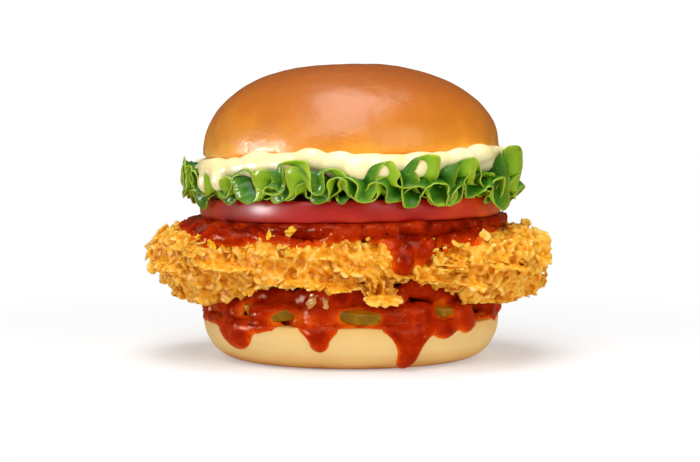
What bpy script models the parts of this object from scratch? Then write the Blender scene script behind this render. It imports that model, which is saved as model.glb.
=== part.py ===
"""Chicken burger: bun heel, sauce, gherkin slices, fried chicken fillet, sauce, tomato, lettuce, mayonnaise, bun crown.

Metres, +Z up. The origin is the middle of the flat base of the bun's heel, -Y is the front of the burger.
Every layer is turned about the Z axis from a profile, and then reshaped by angle: the fillet gets its long
outline, its sagging ends and its crust, the two sauces are flat pancakes draped over what they lie on, the
lettuce is ruffled and the mayonnaise swells out in lobes.
"""

import math

import bmesh
import bpy
from mathutils import Matrix, Vector, noise

TAU = 2 * math.pi
GAP = 0.0003  # clearance between two pieces that touch

# Steps round each kind of piece, and rings across the fillet.
ROUND_COLUMNS = 48
FILLET_COLUMNS = 60
FILLET_RINGS = 15
SAUCE_COLUMNS = 72

# Bun heel: flat base, side that leans out, cut face on top.
HEEL_RADIUS = 0.0502
HEEL_HEIGHT = 0.0140
HEEL_BASE_RADIUS = 0.0400
HEEL_FOOT_RADIUS = 0.0470  # where the rounded foot meets the side
HEEL_FOOT_HEIGHT = 0.0036
HEEL_RIM_ROUND = 0.0010
HEEL_RIM_POINTS = 3

# Lower sauce: a pancake on the heel, heaped in the middle, that turns over the rim and drips.
LOWER_SAUCE_OVER_RIM = 0.0005  # how far it runs down the side where nothing drips
LOWER_SAUCE_RIM = 0.0014
LOWER_SAUCE_HEAP = 0.0084
LOWER_SAUCE_HEAP_START = 0.0270
LOWER_SAUCE_SLOPE = math.radians(10.0)

# Gherkin slices, lying on the slope of the sauce.
GHERKIN_RADIUS = 0.0105
GHERKIN_THICKNESS = 0.0031
GHERKIN_BEVEL = 0.0006
GHERKIN_RING = 0.0382  # middle of a slice from the axis

# Chicken fillet: a long bulging slab whose two ends hang lower than the bun's rim.
FILLET_HALF_LENGTH = 0.0685
FILLET_HALF_WIDTH = 0.0565
FILLET_WOBBLE = 0.012  # share of the outline that its soft corners come and go by
FILLET_SIDE_POWER = 0.6  # how square the outline of a cut across the fillet is, sideways
FILLET_UP_POWER = 0.75  # and upwards; 1 is an ellipse
FILLET_TOP = 0.0444
FILLET_MIDDLE = 0.0350
FILLET_UNDERSIDE = 0.0236
FILLET_END_SAG = 0.0100  # how far the two ends hang lower than the middle
FILLET_SAG_FROM = 0.0500  # the ends begin to hang this far from the axis
FILLET_SAG_TO = 0.0545
FILLET_CRAG = 0.0024  # deepest crack of the crust
FILLET_CRAG_CELL = 0.0110
FILLET_CRUST_FROM = 0.6  # share of the reach at which the flat top and underside turn craggy
FILLET_CRUST_TO = 0.9

# Upper sauce: a pancake on the fillet.
UPPER_SAUCE_REACH = 0.0540  # along the fillet's surface, from its middle
UPPER_SAUCE_HOLD = 0.0400  # nothing inside this is stretched by the drips
UPPER_SAUCE_THICKNESS = 0.0013

SAUCE_EDGE = 0.0008  # both sauces round off over this much at their edge
DRIP_BEAD = 0.09  # a drip is thicker than the rest by this share of its length
DRIP_STAND = 0.07  # and stands this share of its length further off what it runs down
DRIP_BUNCH = 0.60  # the columns of a sauce stand this much closer at a drip
DRIP_BUNCH_REACH = math.radians(16)

# Tomato slice.
TOMATO_RADIUS = 0.0509
TOMATO_BOTTOM = 0.0466
TOMATO_THICKNESS = 0.0070
TOMATO_ROUND = 0.0012
TOMATO_LOBES = 5
TOMATO_LOBE = 0.004  # share of the radius

# Lettuce: a thick bed of leaf on the tomato that thins out to a ruffled edge past it.
LETTUCE_RADIUS = 0.0562
LETTUCE_BOTTOM = TOMATO_BOTTOM + TOMATO_THICKNESS + GAP
LETTUCE_BED = 0.0052
LETTUCE_LEAF = 0.0022
LETTUCE_FLAT_RADIUS = 0.0430  # the bed is flat out to here
LETTUCE_THIN_RADIUS = 0.0500  # and as thin as the leaf from here
LETTUCE_RINGS = (0.0475, 0.0520)  # between the flat bed and the edge
LETTUCE_EDGE_RISE = 0.0012
LETTUCE_RUFFLES = 13
LETTUCE_RUFFLE_HEIGHT = 0.0036
LETTUCE_HANG = 0.0100  # the lowest that a ruffle may reach past the tomato
LETTUCE_COLUMNS = 5 * LETTUCE_RUFFLES

# Bun crown: a dome on a short rounded lip.
CROWN_RADIUS = 0.0494
CROWN_BOTTOM = 0.0660
CROWN_HEIGHT = 0.0310
CROWN_LIP = 0.0018

# Mayonnaise: fills the space between leaf and crown and swells out past the crown's lip.
MAYO_RADIUS = 0.0522
MAYO_LOBE = 0.0016
MAYO_LOBES = 9
MAYO_COLLAR = 0.0016  # how far it stands up round the lip
MAYO_COLLAR_GAP = 0.0006
MAYO_LEAST = 0.0012  # its least thickness

# Colour (sRGB), roughness.
FINISHES = {
    "bread_pale": ((0.93, 0.78, 0.53), 0.7),
    "bread_glazed": ((0.80, 0.46, 0.15), 0.3),
    "sauce": ((0.62, 0.12, 0.03), 0.2),
    "gherkin": ((0.56, 0.53, 0.13), 0.35),
    "crust": ((0.90, 0.64, 0.27), 0.6),
    "tomato": ((0.75, 0.14, 0.11), 0.25),
    "lettuce": ((0.42, 0.65, 0.16), 0.4),
    "mayonnaise": ((0.97, 0.90, 0.68), 0.3),
}

# A drip: (angle in degrees, length beyond the reach, half width in degrees). -90 is the front.
LOWER_DRIPS = (
    (-157, 0.0014, 6),
    (-134, 0.0040, 9),
    (-101, 0.0062, 8.5),
    (-70, 0.0102, 6.5),
    (-45, 0.0024, 12),
    (-17, 0.0014, 6),
    (25, 0.0048, 8),
    (62, 0.0022, 10),
    (97, 0.0088, 7),
    (133, 0.0034, 9),
    (165, 0.0052, 8),
)
UPPER_DRIPS = (
    (-150, 0.0060, 10),
    (-118, 0.0075, 8),
    (-100, 0.0060, 8),
    (-68, 0.0135, 9),
    (-42, 0.0064, 11),
    (40, 0.0090, 9),
    (95, 0.0120, 8),
    (140, 0.0060, 9),
)
# A gherkin slice: (angle in degrees, distance beyond GHERKIN_RING, share of GHERKIN_RADIUS).
GHERKINS = (
    (-164, 0.0000, 0.95),
    (-125, 0.0004, 1.10),
    (-84, 0.0002, 1.12),
    (-46, 0.0004, 0.98),
    (-11, 0.0000, 0.95),
    (46, -0.0010, 1.05),
    (118, -0.0010, 1.05),
)


def smooth_step(low, high, value):
    """0 below low, 1 above high, and a smooth rise between them."""
    share = min(1.0, max(0.0, (value - low) / (high - low)))
    return share * share * (3 - 2 * share)


def arc(centre_r, centre_z, radius_r, radius_z, start, end, count):
    """Points on an elliptical arc in the profile plane, angles in degrees from +R towards +Z."""
    angles = [math.radians(start + (end - start) * i / (count - 1)) for i in range(count)]
    return [(centre_r + radius_r * math.cos(a), centre_z + radius_z * math.sin(a)) for a in angles]


def point_along(profile, distance):
    """The point that far along the profile, and the outward direction there."""
    for (r0, z0), (r1, z1) in zip(profile, profile[1:]):
        length = math.dist((r0, z0), (r1, z1))
        if distance <= length:
            break
        distance -= length
    else:
        distance = length
    share = distance / length
    outward = ((z0 - z1) / length, (r1 - r0) / length)
    return (r0 + (r1 - r0) * share, z0 + (z1 - z0) * share), outward


def material_of(finish):
    """The Principled material of that finish, made once."""
    found = bpy.data.materials.get(finish)
    if found:
        return found
    colour, roughness = FINISHES[finish]
    material = bpy.data.materials.new(finish)
    material.use_nodes = True
    shader = material.node_tree.nodes["Principled BSDF"]
    shader.inputs["Base Color"].default_value = (*(c**2.2 for c in colour), 1.0)
    shader.inputs["Roughness"].default_value = roughness
    shader.inputs["Metallic"].default_value = 0.0
    return material


def object_of(name, mesh, finish):
    """Writes a bmesh to a new object, shaded smooth but for its sharp edges."""
    bmesh.ops.recalc_face_normals(mesh, faces=mesh.faces)
    if mesh.calc_volume(signed=True) < 0:
        bmesh.ops.reverse_faces(mesh, faces=mesh.faces)
    data = bpy.data.meshes.new(name)
    mesh.to_mesh(data)
    mesh.free()
    data.shade_smooth()
    data.set_sharp_from_angle(angle=math.radians(50))
    data.materials.append(material_of(finish))
    made = bpy.data.objects.new(name, data)
    bpy.context.scene.collection.objects.link(made)
    return made


def turned(profile, columns):
    """A closed bmesh, spun about Z from (radius, height) points that start and end on the axis."""
    mesh = bmesh.new()
    points = [mesh.verts.new((r, 0, z)) for r, z in profile]
    edges = [mesh.edges.new(pair) for pair in zip(points, points[1:])]
    bmesh.ops.spin(mesh, geom=points + edges, cent=(0, 0, 0), axis=(0, 0, 1), steps=columns, angle=TAU)
    bmesh.ops.remove_doubles(mesh, verts=mesh.verts, dist=1e-6)
    return mesh


def reshape(mesh, move):
    """Moves each vertex as move(radius, angle, height) says, which gives the three anew."""
    for vertex in mesh.verts:
        x, y, z = vertex.co
        radius, angle, height = move(math.hypot(x, y), math.atan2(y, x), z)
        vertex.co = (radius * math.cos(angle), radius * math.sin(angle), height)
    return mesh


def drip_length(drips, angle):
    """How far the sauce runs beyond its reach at this angle: rounded tongues of the drips given."""
    longest = 0.0
    for degrees, length, half_width in drips:
        away = math.degrees(abs((angle - math.radians(degrees) + math.pi) % TAU - math.pi))
        longest = max(longest, length * math.cos(math.pi / 2 * min(1.0, away / (1.6 * half_width))) ** 1.3)
    return longest


def heel_profile():
    """The heel's outside from the middle of its cut face to the middle of its base."""
    lean = math.degrees(math.atan2(HEEL_HEIGHT, HEEL_RADIUS - HEEL_FOOT_RADIUS)) - 90
    rim_r, rim_z = HEEL_RADIUS - HEEL_RIM_ROUND, HEEL_HEIGHT - HEEL_RIM_ROUND
    rim = arc(rim_r, rim_z, HEEL_RIM_ROUND, HEEL_RIM_ROUND, 90, lean, HEEL_RIM_POINTS)
    foot_width = HEEL_FOOT_RADIUS - HEEL_BASE_RADIUS
    foot = arc(HEEL_BASE_RADIUS, HEEL_FOOT_HEIGHT, foot_width, HEEL_FOOT_HEIGHT, 0, -90, 5)
    return [(0, HEEL_HEIGHT), *rim, *foot, (0, 0)]


def make_heel():
    return object_of("bun_heel", turned(heel_profile(), ROUND_COLUMNS), "bread_pale")


def bunched(drips, angle):
    """The angle at which a column of the sauce stands, drawn in towards the drips near it."""
    pulled = angle
    for degrees, _, _ in drips:
        away = (angle - math.radians(degrees) + math.pi) % TAU - math.pi
        pulled -= DRIP_BUNCH * away * math.exp(-((away / DRIP_BUNCH_REACH) ** 2))
    return pulled


def pancake_profile(distances, flat_to):
    """A flat pancake, 1 thick, with rings at these distances and an edge that rounds off beyond the last one.

    Its underside has no ring between the middle and flat_to.
    """
    round_off = (0.42 * math.pi, 0.75 * math.pi)
    rim = [(distances[-1] + SAUCE_EDGE * math.sin(a), 0.5 + 0.5 * math.cos(a)) for a in round_off]
    under = [d for d in distances if d == 0 or d >= flat_to]
    return [(d, 1.0) for d in distances] + rim + [(d, 0.0) for d in reversed(under)]


def draped(profile_at, distances, hold, flat_to, drips, depth_at, gap):
    """A pancake laid on a surface. profile_at(angle) is the surface and depth_at(distance) the sauce's depth.

    The pancake has rings at the distances given; past hold they are stretched by the length of the drips.
    """
    flat = turned(pancake_profile(distances, flat_to), SAUCE_COLUMNS)
    free = distances[-1] - hold

    def lay(distance, column, height):
        angle = bunched(drips, column)
        drip = drip_length(drips, angle) * min(1.0, max(0.0, distance - hold) / free)
        (radius, base), (out_r, out_z) = point_along(profile_at(angle), distance + drip)
        lift = gap + DRIP_STAND * drip + height * (depth_at(distance) + DRIP_BEAD * drip)
        return max(0.0, radius + out_r * lift), angle, base + out_z * lift

    return reshape(flat, lay)


def heap_height(distance):
    """Depth of the lower sauce: thin at the rim, rising inwards on a slope to the heap that the fillet rests on."""
    slope = max(0.0, HEEL_RADIUS - distance) * math.tan(LOWER_SAUCE_SLOPE)
    heap = smooth_step(LOWER_SAUCE_HEAP_START, 0.6 * LOWER_SAUCE_HEAP_START, distance)
    return LOWER_SAUCE_RIM + slope + heap * (LOWER_SAUCE_HEAP - LOWER_SAUCE_RIM - slope)


def make_lower_sauce():
    profile = heel_profile()
    rim = [HEEL_RADIUS - HEEL_RIM_ROUND]  # where the cut face turns over, then each point of the rim
    for start, end in zip(profile[1:HEEL_RIM_POINTS], profile[2 : HEEL_RIM_POINTS + 1]):
        rim.append(rim[-1] + math.dist(start, end))
    top = [0.0, 0.6 * LOWER_SAUCE_HEAP_START, LOWER_SAUCE_HEAP_START]
    side = [rim[-1] + LOWER_SAUCE_OVER_RIM * share for share in (0.35, 0.7, 1.0)]
    mesh = draped(lambda angle: profile, top + rim + side, rim[-1], rim[0], LOWER_DRIPS, heap_height, GAP)
    return object_of("sauce_lower", mesh, "sauce")


def make_gherkins():
    """Round slices side by side on the slope of the lower sauce, each tipped outwards with it."""
    for number, (degrees, beyond, size) in enumerate(GHERKINS, 1):
        mesh = bmesh.new()
        radius = GHERKIN_RADIUS * size
        bmesh.ops.create_cone(
            mesh, cap_ends=True, segments=16, radius1=radius, radius2=radius, depth=GHERKIN_THICKNESS
        )
        rims = [e for e in mesh.edges if abs(e.verts[0].co.z - e.verts[1].co.z) < 1e-6]
        bmesh.ops.bevel(mesh, geom=rims, offset=GHERKIN_BEVEL, segments=1, affect="EDGES")
        slice_ = object_of(f"gherkin_{number}", mesh, "gherkin")
        angle, ring = math.radians(degrees), GHERKIN_RING + beyond
        bed = HEEL_HEIGHT + GAP + heap_height(ring)
        middle = bed + GAP + GHERKIN_THICKNESS / 2 / math.cos(LOWER_SAUCE_SLOPE)
        slice_.location = (ring * math.cos(angle), ring * math.sin(angle), middle + GAP)
        tip = Matrix.Rotation(angle, 3, "Z") @ Matrix.Rotation(LOWER_SAUCE_SLOPE, 3, "Y")
        slice_.rotation_euler = tip.to_euler()


def fillet_reach(angle):
    """The fillet's outline: long in X, with a soft wobble of a hand-cut piece."""
    long_way, short_way = math.cos(angle) / FILLET_HALF_LENGTH, math.sin(angle) / FILLET_HALF_WIDTH
    oval = (long_way**2 + short_way**2) ** -0.5
    return oval * (1 - FILLET_WOBBLE * (1 + math.sin(5 * angle + 0.6)))


def fillet_profile(angle, count=FILLET_RINGS):
    """The fillet's smooth outside at this angle, from the middle of its top to the middle of its underside."""
    reach = fillet_reach(angle)
    points = []
    for i in range(count):
        turn = math.pi * i / (count - 1)
        across = math.sin(turn) ** FILLET_SIDE_POWER
        up = math.copysign(abs(math.cos(turn)) ** FILLET_UP_POWER, math.cos(turn))
        half_height = FILLET_TOP - FILLET_MIDDLE if up > 0 else FILLET_MIDDLE - FILLET_UNDERSIDE
        hang = smooth_step(FILLET_SAG_FROM, FILLET_SAG_TO, reach * across) * (1 - smooth_step(0.93, 1.0, across))
        sag = FILLET_END_SAG * abs(math.cos(angle)) ** 1.5 * hang if up < 0 else 0.0
        points.append((reach * across, FILLET_MIDDLE + up * half_height - sag))
    points[0] = (0.0, FILLET_TOP)
    points[-1] = (0.0, FILLET_UNDERSIDE)
    return points


def crag(point):
    """How far the crust is sunk at this point: cells with deep cracks between them."""
    near, next_near = noise.voronoi(point / FILLET_CRAG_CELL)[0][:2]
    crack = 1 - min(1.0, 2.2 * (next_near - near))
    fine = 0.5 + 0.5 * noise.noise(2.2 * point / FILLET_CRAG_CELL)
    return FILLET_CRAG * (0.75 * crack + 0.25 * fine)


def make_fillet():
    mesh = turned([(p[0], i) for i, p in enumerate(fillet_profile(0))], FILLET_COLUMNS)

    def place(radius, angle, ring):
        reach, height = fillet_profile(angle)[round(ring)]
        side = smooth_step(FILLET_CRUST_FROM, FILLET_CRUST_TO, reach / fillet_reach(angle)) ** 2
        sunk = crag(Vector((reach * math.cos(angle), reach * math.sin(angle), height))) * side
        rise = (height - FILLET_MIDDLE) / (FILLET_TOP - FILLET_MIDDLE)
        return reach - sunk, angle, height - 0.35 * sunk * max(-1.0, min(1.0, rise))

    return object_of("chicken_fillet", reshape(mesh, place), "crust")


def make_upper_sauce():
    free = UPPER_SAUCE_REACH - UPPER_SAUCE_HOLD
    rings = [0.0, 0.6 * UPPER_SAUCE_HOLD, *[UPPER_SAUCE_HOLD + free * i / 4 for i in range(5)]]
    mesh = draped(
        lambda angle: fillet_profile(angle, 3 * FILLET_RINGS),
        rings,
        UPPER_SAUCE_HOLD,
        UPPER_SAUCE_HOLD,
        UPPER_DRIPS,
        lambda distance: UPPER_SAUCE_THICKNESS,
        2 * GAP,
    )
    return object_of("sauce_upper", mesh, "sauce")


def make_tomato():
    top = TOMATO_BOTTOM + TOMATO_THICKNESS
    middle = TOMATO_BOTTOM + TOMATO_THICKNESS / 2
    side = arc(TOMATO_RADIUS - TOMATO_ROUND, middle, TOMATO_ROUND, TOMATO_THICKNESS / 2, 90, -90, 5)
    mesh = turned([(0, top), *side, (0, TOMATO_BOTTOM)], ROUND_COLUMNS)

    def lobed(radius, angle, height):
        return radius * (1 - TOMATO_LOBE * (1 + math.sin(TOMATO_LOBES * angle + 2.2))), angle, height

    return object_of("tomato_slice", reshape(mesh, lobed), "tomato")


def leaf_height(radius, angle, side):
    """The leaf's top (side 1) or underside (side 0): flat over the tomato, with waves that grow past it."""
    edge = smooth_step(LETTUCE_FLAT_RADIUS, LETTUCE_THIN_RADIUS, radius)
    thick = LETTUCE_BED + (LETTUCE_LEAF - LETTUCE_BED) * edge
    grow = smooth_step(LETTUCE_FLAT_RADIUS, LETTUCE_RADIUS, radius)
    wave = LETTUCE_RUFFLE_HEIGHT * (math.sin(LETTUCE_RUFFLES * angle) + 0.35 * math.sin(5 * angle + 1.0))
    middle = LETTUCE_BOTTOM + LETTUCE_BED / 2 + LETTUCE_EDGE_RISE * edge + grow * (wave + LETTUCE_EDGE_RISE)
    past_tomato = smooth_step(TOMATO_RADIUS + 0.0010, TOMATO_RADIUS + 0.0040, radius)
    lowest = LETTUCE_BOTTOM + side * thick / 2 - LETTUCE_HANG * past_tomato
    return max(middle + (side - 0.5) * thick, lowest)


def make_lettuce():
    steps = (0.0, LETTUCE_FLAT_RADIUS, *LETTUCE_RINGS, LETTUCE_RADIUS)
    profile = [(r, 1) for r in steps] + [(r, 0) for r in reversed(steps)]

    def frill(radius, angle, side):
        return radius, angle, leaf_height(radius, angle, side)

    return object_of("lettuce_leaf", reshape(turned(profile, LETTUCE_COLUMNS), frill), "lettuce")


def make_mayonnaise():
    bed = LETTUCE_BOTTOM + LETTUCE_BED
    lip = CROWN_RADIUS + MAYO_COLLAR_GAP
    edge = MAYO_RADIUS - MAYO_COLLAR_GAP
    collar = arc((lip + MAYO_RADIUS) / 2, 1.0, (MAYO_RADIUS - lip) / 2, 1.0, 180, 0, 5)
    # The second number of a point is 0 on the underside, 1 on the top and up to 2 on the collar.
    top = [(0.0, 1), (CROWN_RADIUS - 2 * CROWN_LIP, 1), *collar]
    under = [(r, 0) for r in (edge, LETTUCE_RINGS[0], LETTUCE_FLAT_RADIUS, 0.0)]

    def swell(radius, angle, mark):
        lobe = 0.5 + 0.5 * math.sin(MAYO_LOBES * angle + 1.3 * math.sin(2 * angle))
        spread = radius + MAYO_LOBE * lobe * smooth_step(lip, edge, radius)
        floor = max(bed, leaf_height(spread, angle, 1)) + 4 * GAP
        if mark < 0.5:
            return spread, angle, floor
        height = CROWN_BOTTOM - GAP + MAYO_COLLAR * (mark - 1) * (0.4 + lobe)
        return spread, angle, max(height, floor + MAYO_LEAST)

    return object_of("mayonnaise", reshape(turned(top + under, LETTUCE_COLUMNS), swell), "mayonnaise")


def make_crown():
    lip_z = CROWN_BOTTOM + CROWN_LIP
    dome = arc(0, lip_z, CROWN_RADIUS, CROWN_HEIGHT - CROWN_LIP, 90, 0, 10)
    lip = arc(CROWN_RADIUS - 2 * CROWN_LIP, lip_z, 2 * CROWN_LIP, CROWN_LIP, 0, -90, 4)[1:]
    profile = [*dome, *lip, (0, CROWN_BOTTOM)]
    profile[0] = (0, profile[0][1])
    return object_of("bun_crown", turned(profile, ROUND_COLUMNS), "bread_glazed")


def main():
    for old in list(bpy.data.objects):
        bpy.data.objects.remove(old)
    make_heel()
    make_lower_sauce()
    make_gherkins()
    make_fillet()
    make_upper_sauce()
    make_tomato()
    make_lettuce()
    make_mayonnaise()
    make_crown()


main()
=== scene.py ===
"""Looks of a fried chicken burger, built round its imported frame.

Every layer of the burger is a class that holds its sizes, builds its meshes and dresses them. Lengths are in
metres, in the frame's own axes: +Z up, -Y the front, the origin under the middle of the bun.
"""

import logging
import math
from dataclasses import dataclass, field
from enum import Enum
from typing import Callable, Iterable, Optional, Sequence

import bmesh
import bpy
import numpy as np
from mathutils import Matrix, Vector
from mathutils.bvhtree import BVHTree
from mathutils.kdtree import KDTree


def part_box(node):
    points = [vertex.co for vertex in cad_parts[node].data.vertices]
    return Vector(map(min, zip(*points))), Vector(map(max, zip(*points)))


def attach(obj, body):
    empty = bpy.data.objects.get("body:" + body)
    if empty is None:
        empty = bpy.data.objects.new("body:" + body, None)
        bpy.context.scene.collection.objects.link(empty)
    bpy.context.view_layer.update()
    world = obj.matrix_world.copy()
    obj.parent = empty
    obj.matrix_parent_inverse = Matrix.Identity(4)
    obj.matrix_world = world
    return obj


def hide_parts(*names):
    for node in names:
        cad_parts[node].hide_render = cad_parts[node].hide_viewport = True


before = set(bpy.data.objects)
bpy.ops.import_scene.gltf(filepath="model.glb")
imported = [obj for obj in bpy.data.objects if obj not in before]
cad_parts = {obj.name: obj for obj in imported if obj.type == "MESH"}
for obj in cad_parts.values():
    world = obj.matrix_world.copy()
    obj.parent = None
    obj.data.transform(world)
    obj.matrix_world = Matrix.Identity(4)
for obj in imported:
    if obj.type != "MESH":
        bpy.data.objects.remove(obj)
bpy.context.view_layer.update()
LOG = logging.getLogger("burger")
MM = 0.001
TAU = 2 * math.pi


# ---------------------------------------------------------------- numbers


def smooth_step(low: float, high: float, value: np.ndarray) -> np.ndarray:
    """0 below low, 1 above high and a smooth rise between; works on numbers and arrays."""
    share = np.clip((value - low) / (high - low), 0.0, 1.0)
    return share * share * (3 - 2 * share)


def away_from(angle: np.ndarray, degrees: object) -> np.ndarray:
    """The signed turn from an angle given in degrees to each angle, in radians, from -pi to pi."""
    return (angle - np.radians(degrees) + math.pi) % TAU - math.pi


class Noise:
    """Smooth seeded noise in space, from -1 to 1."""

    CORNERS = [(x, y, z) for x in (0, 1) for y in (0, 1) for z in (0, 1)]

    def __init__(self, seed: int) -> None:
        """Draws the slopes that the noise has at its lattice points."""
        draw = np.random.default_rng(seed)
        slopes = draw.normal(size=(4096, 3))
        self.slopes = slopes / np.linalg.norm(slopes, axis=1)[:, None]

    def at(self, points: np.ndarray, scale: float, octaves: int = 1) -> np.ndarray:
        """Reads the noise.

        Args:
            points: places, one in each row.
            scale: size of a bump, in the points' own unit.
            octaves: how many finer copies are added, each half as large and half as strong.

        Returns:
            One value for each place.
        """
        total = np.zeros(len(points))
        for octave in range(octaves):
            total += self._once(points / scale * 2**octave + 17.3 * octave) / 2**octave
        return total

    def _once(self, places: np.ndarray) -> np.ndarray:
        """One octave at places that are already divided by the scale."""
        cell = np.floor(places).astype(np.int64)
        inside = places - cell
        ease = inside**3 * (inside * (6 * inside - 15) + 10)
        total = np.zeros(len(places))
        for corner in self.CORNERS:
            at = cell + corner
            key = (at[:, 0] * 73856093) ^ (at[:, 1] * 19349663) ^ (at[:, 2] * 83492791)
            rise = np.einsum("ij,ij->i", self.slopes[key & 4095], inside - corner)
            share = np.where(np.array(corner) == 1, ease, 1 - ease).prod(axis=1)
            total += share * rise
        return 1.6 * total


# ---------------------------------------------------------------- modelling


def only(piece: bpy.types.Object) -> bpy.types.Object:
    """Selects that piece alone and makes it the active one."""
    bpy.ops.object.select_all(action="DESELECT")
    piece.select_set(True)
    bpy.context.view_layer.objects.active = piece
    return piece


def points_of(piece: bpy.types.Object) -> np.ndarray:
    """The places of a mesh's vertices, one in each row."""
    flat = np.empty(len(piece.data.vertices) * 3, np.float32)
    piece.data.vertices.foreach_get("co", flat)
    return flat.reshape(-1, 3).astype(float)


def normals_of(piece: bpy.types.Object) -> np.ndarray:
    """The outward directions at a mesh's vertices, one in each row."""
    flat = np.empty(len(piece.data.vertices) * 3, np.float32)
    piece.data.vertices.foreach_get("normal", flat)
    return flat.reshape(-1, 3).astype(float)


def place_points(piece: bpy.types.Object, points: np.ndarray) -> None:
    """Puts a mesh's vertices at these places."""
    piece.data.vertices.foreach_set("co", points.astype(np.float32).ravel())
    piece.data.update()


def modify(piece: bpy.types.Object, kind: str, **settings: object) -> bpy.types.Object:
    """Gives a piece a modifier and applies it.

    Args:
        piece: the piece, whose mesh changes.
        kind: the modifier's type.
        settings: its properties.

    Returns:
        The same piece.
    """
    only(piece)
    modifier = piece.modifiers.new(kind.lower(), kind)
    for name, value in settings.items():
        setattr(modifier, name, value)
    bpy.ops.object.modifier_apply(modifier=modifier.name)
    return piece


def remesh(piece: bpy.types.Object, voxel: float, smooth: int = 0) -> bpy.types.Object:
    """Melts the bodies of a piece into one skin, and evens out the steps that this leaves."""
    modify(piece, "REMESH", mode="VOXEL", voxel_size=voxel, use_smooth_shade=True)
    if smooth:
        modify(piece, "SMOOTH", factor=0.5, iterations=smooth)
    return piece


def mesh_piece(name: str, points: np.ndarray, faces: np.ndarray) -> bpy.types.Object:
    """A new piece from places and from rows of place numbers, shaded smooth."""
    data = bpy.data.meshes.new(name)
    data.from_pydata(points.tolist(), [], faces.tolist())
    data.shade_smooth()
    piece = bpy.data.objects.new(name, data)
    bpy.context.scene.collection.objects.link(piece)
    return piece


def joined(name: str, parts: Iterable[tuple[np.ndarray, np.ndarray]]) -> bpy.types.Object:
    """One piece from several sets of points and faces."""
    points, faces, start = [], [], 0
    for some_points, some_faces in parts:
        points.append(some_points)
        faces.append(some_faces + start)
        start += len(some_points)
    return mesh_piece(name, np.vstack(points), np.vstack(faces))


def melted(
    name: str,
    pieces: Sequence[bpy.types.Object],
    parts: Sequence[tuple[np.ndarray, np.ndarray]],
    voxel: float,
    smooth: int,
) -> bpy.types.Object:
    """Melts whole pieces and sets of points and faces into one skin.

    Args:
        name: the new piece's name.
        pieces: pieces that go into it and are used up.
        parts: closed bodies as (points, faces).
        voxel: width of the cells that the skin is made from.
        smooth: rounds of smoothing after.

    Returns:
        The piece.
    """
    whole = joined(name, parts)
    only(whole)
    for piece in pieces:
        piece.select_set(True)
    if pieces:
        bpy.ops.object.join()
    drop_scraps(remesh(whole, voxel, smooth), 500)
    return whole


def twin_of(piece: bpy.types.Object) -> bpy.types.Object:
    """A copy of a piece with its own mesh."""
    twin = bpy.data.objects.new(f"{piece.name}_twin", piece.data.copy())
    twin.data.materials.clear()
    bpy.context.scene.collection.objects.link(twin)
    return twin


def drop_points(piece: bpy.types.Object, gone: np.ndarray) -> None:
    """Deletes the vertices that the mask marks, with their faces."""
    only(piece)
    bpy.ops.object.mode_set(mode="EDIT")
    bpy.ops.mesh.select_mode(type="VERT")
    bpy.ops.mesh.select_all(action="DESELECT")
    bpy.ops.object.mode_set(mode="OBJECT")
    piece.data.vertices.foreach_set("select", gone)
    bpy.ops.object.mode_set(mode="EDIT")
    bpy.ops.mesh.delete(type="VERT")
    bpy.ops.object.mode_set(mode="OBJECT")


def drop_scraps(piece: bpy.types.Object, least: int) -> None:
    """Takes away the loose parts of a piece that have fewer points than that."""
    edges = np.array([tuple(edge.vertices) for edge in piece.data.edges])
    label = np.arange(len(piece.data.vertices))
    while True:
        lower = label.copy()
        np.minimum.at(lower, edges[:, 0], label[edges[:, 1]])
        np.minimum.at(lower, edges[:, 1], label[edges[:, 0]])
        lower = lower[lower]
        if np.array_equal(lower, label):
            break
        label = lower
    drop_points(piece, np.bincount(label, minlength=len(label))[label] < least)


def copied(node: str, name: str) -> bpy.types.Object:
    """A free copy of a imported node's mesh, with its triangles merged, at the origin."""
    source = bpy.data.objects[node]
    piece = bpy.data.objects.new(name, source.data.copy())
    piece.data.transform(source.matrix_world)
    piece.data.materials.clear()
    bpy.context.scene.collection.objects.link(piece)
    only(piece)
    bpy.ops.object.mode_set(mode="EDIT")
    bpy.ops.mesh.select_all(action="SELECT")
    bpy.ops.mesh.remove_doubles(threshold=0.02 * MM)
    bpy.ops.mesh.normals_make_consistent(inside=False)
    bpy.ops.object.mode_set(mode="OBJECT")
    return piece


def turned(name: str, profile: Sequence[tuple[float, float]], segments: int) -> bpy.types.Object:
    """A closed body turned about Z: a disc extruded and resized from one point of its profile to the next.

    Args:
        name: the piece's name.
        profile: (radius, height) from the rim of its bottom disc up to the rim of its top disc.
        segments: steps round the body.

    Returns:
        The piece, shaded smooth.
    """
    bpy.ops.object.select_all(action="DESELECT")
    radius, height = profile[0]
    bpy.ops.mesh.primitive_circle_add(vertices=segments, radius=radius, fill_type="TRIFAN", location=(0, 0, 0))
    piece = bpy.context.object
    piece.name = name
    bpy.ops.object.mode_set(mode="EDIT")
    bpy.ops.mesh.select_all(action="SELECT")
    bpy.ops.transform.translate(value=(0, 0, height))
    for (r0, z0), (r1, z1) in zip(profile, profile[1:]):
        bpy.ops.mesh.extrude_region_move(TRANSFORM_OT_translate={"value": (0, 0, z1 - z0)})
        bpy.ops.transform.resize(value=(r1 / r0, r1 / r0, 1), center_override=(0, 0, z1))
    bpy.ops.mesh.select_all(action="SELECT")
    bpy.ops.mesh.normals_make_consistent(inside=False)
    bpy.ops.object.mode_set(mode="OBJECT")
    piece.data.shade_smooth()
    return piece


def arc(
    centre: tuple[float, float], radii: tuple[float, float], start: float, end: float, steps: int
) -> list[tuple[float, float]]:
    """Points on an elliptical arc of a profile; angles in degrees from outwards (0) to upwards (90)."""
    turns = [math.radians(start + (end - start) * i / steps) for i in range(steps + 1)]
    return [(centre[0] + radii[0] * math.cos(t), centre[1] + radii[1] * math.sin(t)) for t in turns]


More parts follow.
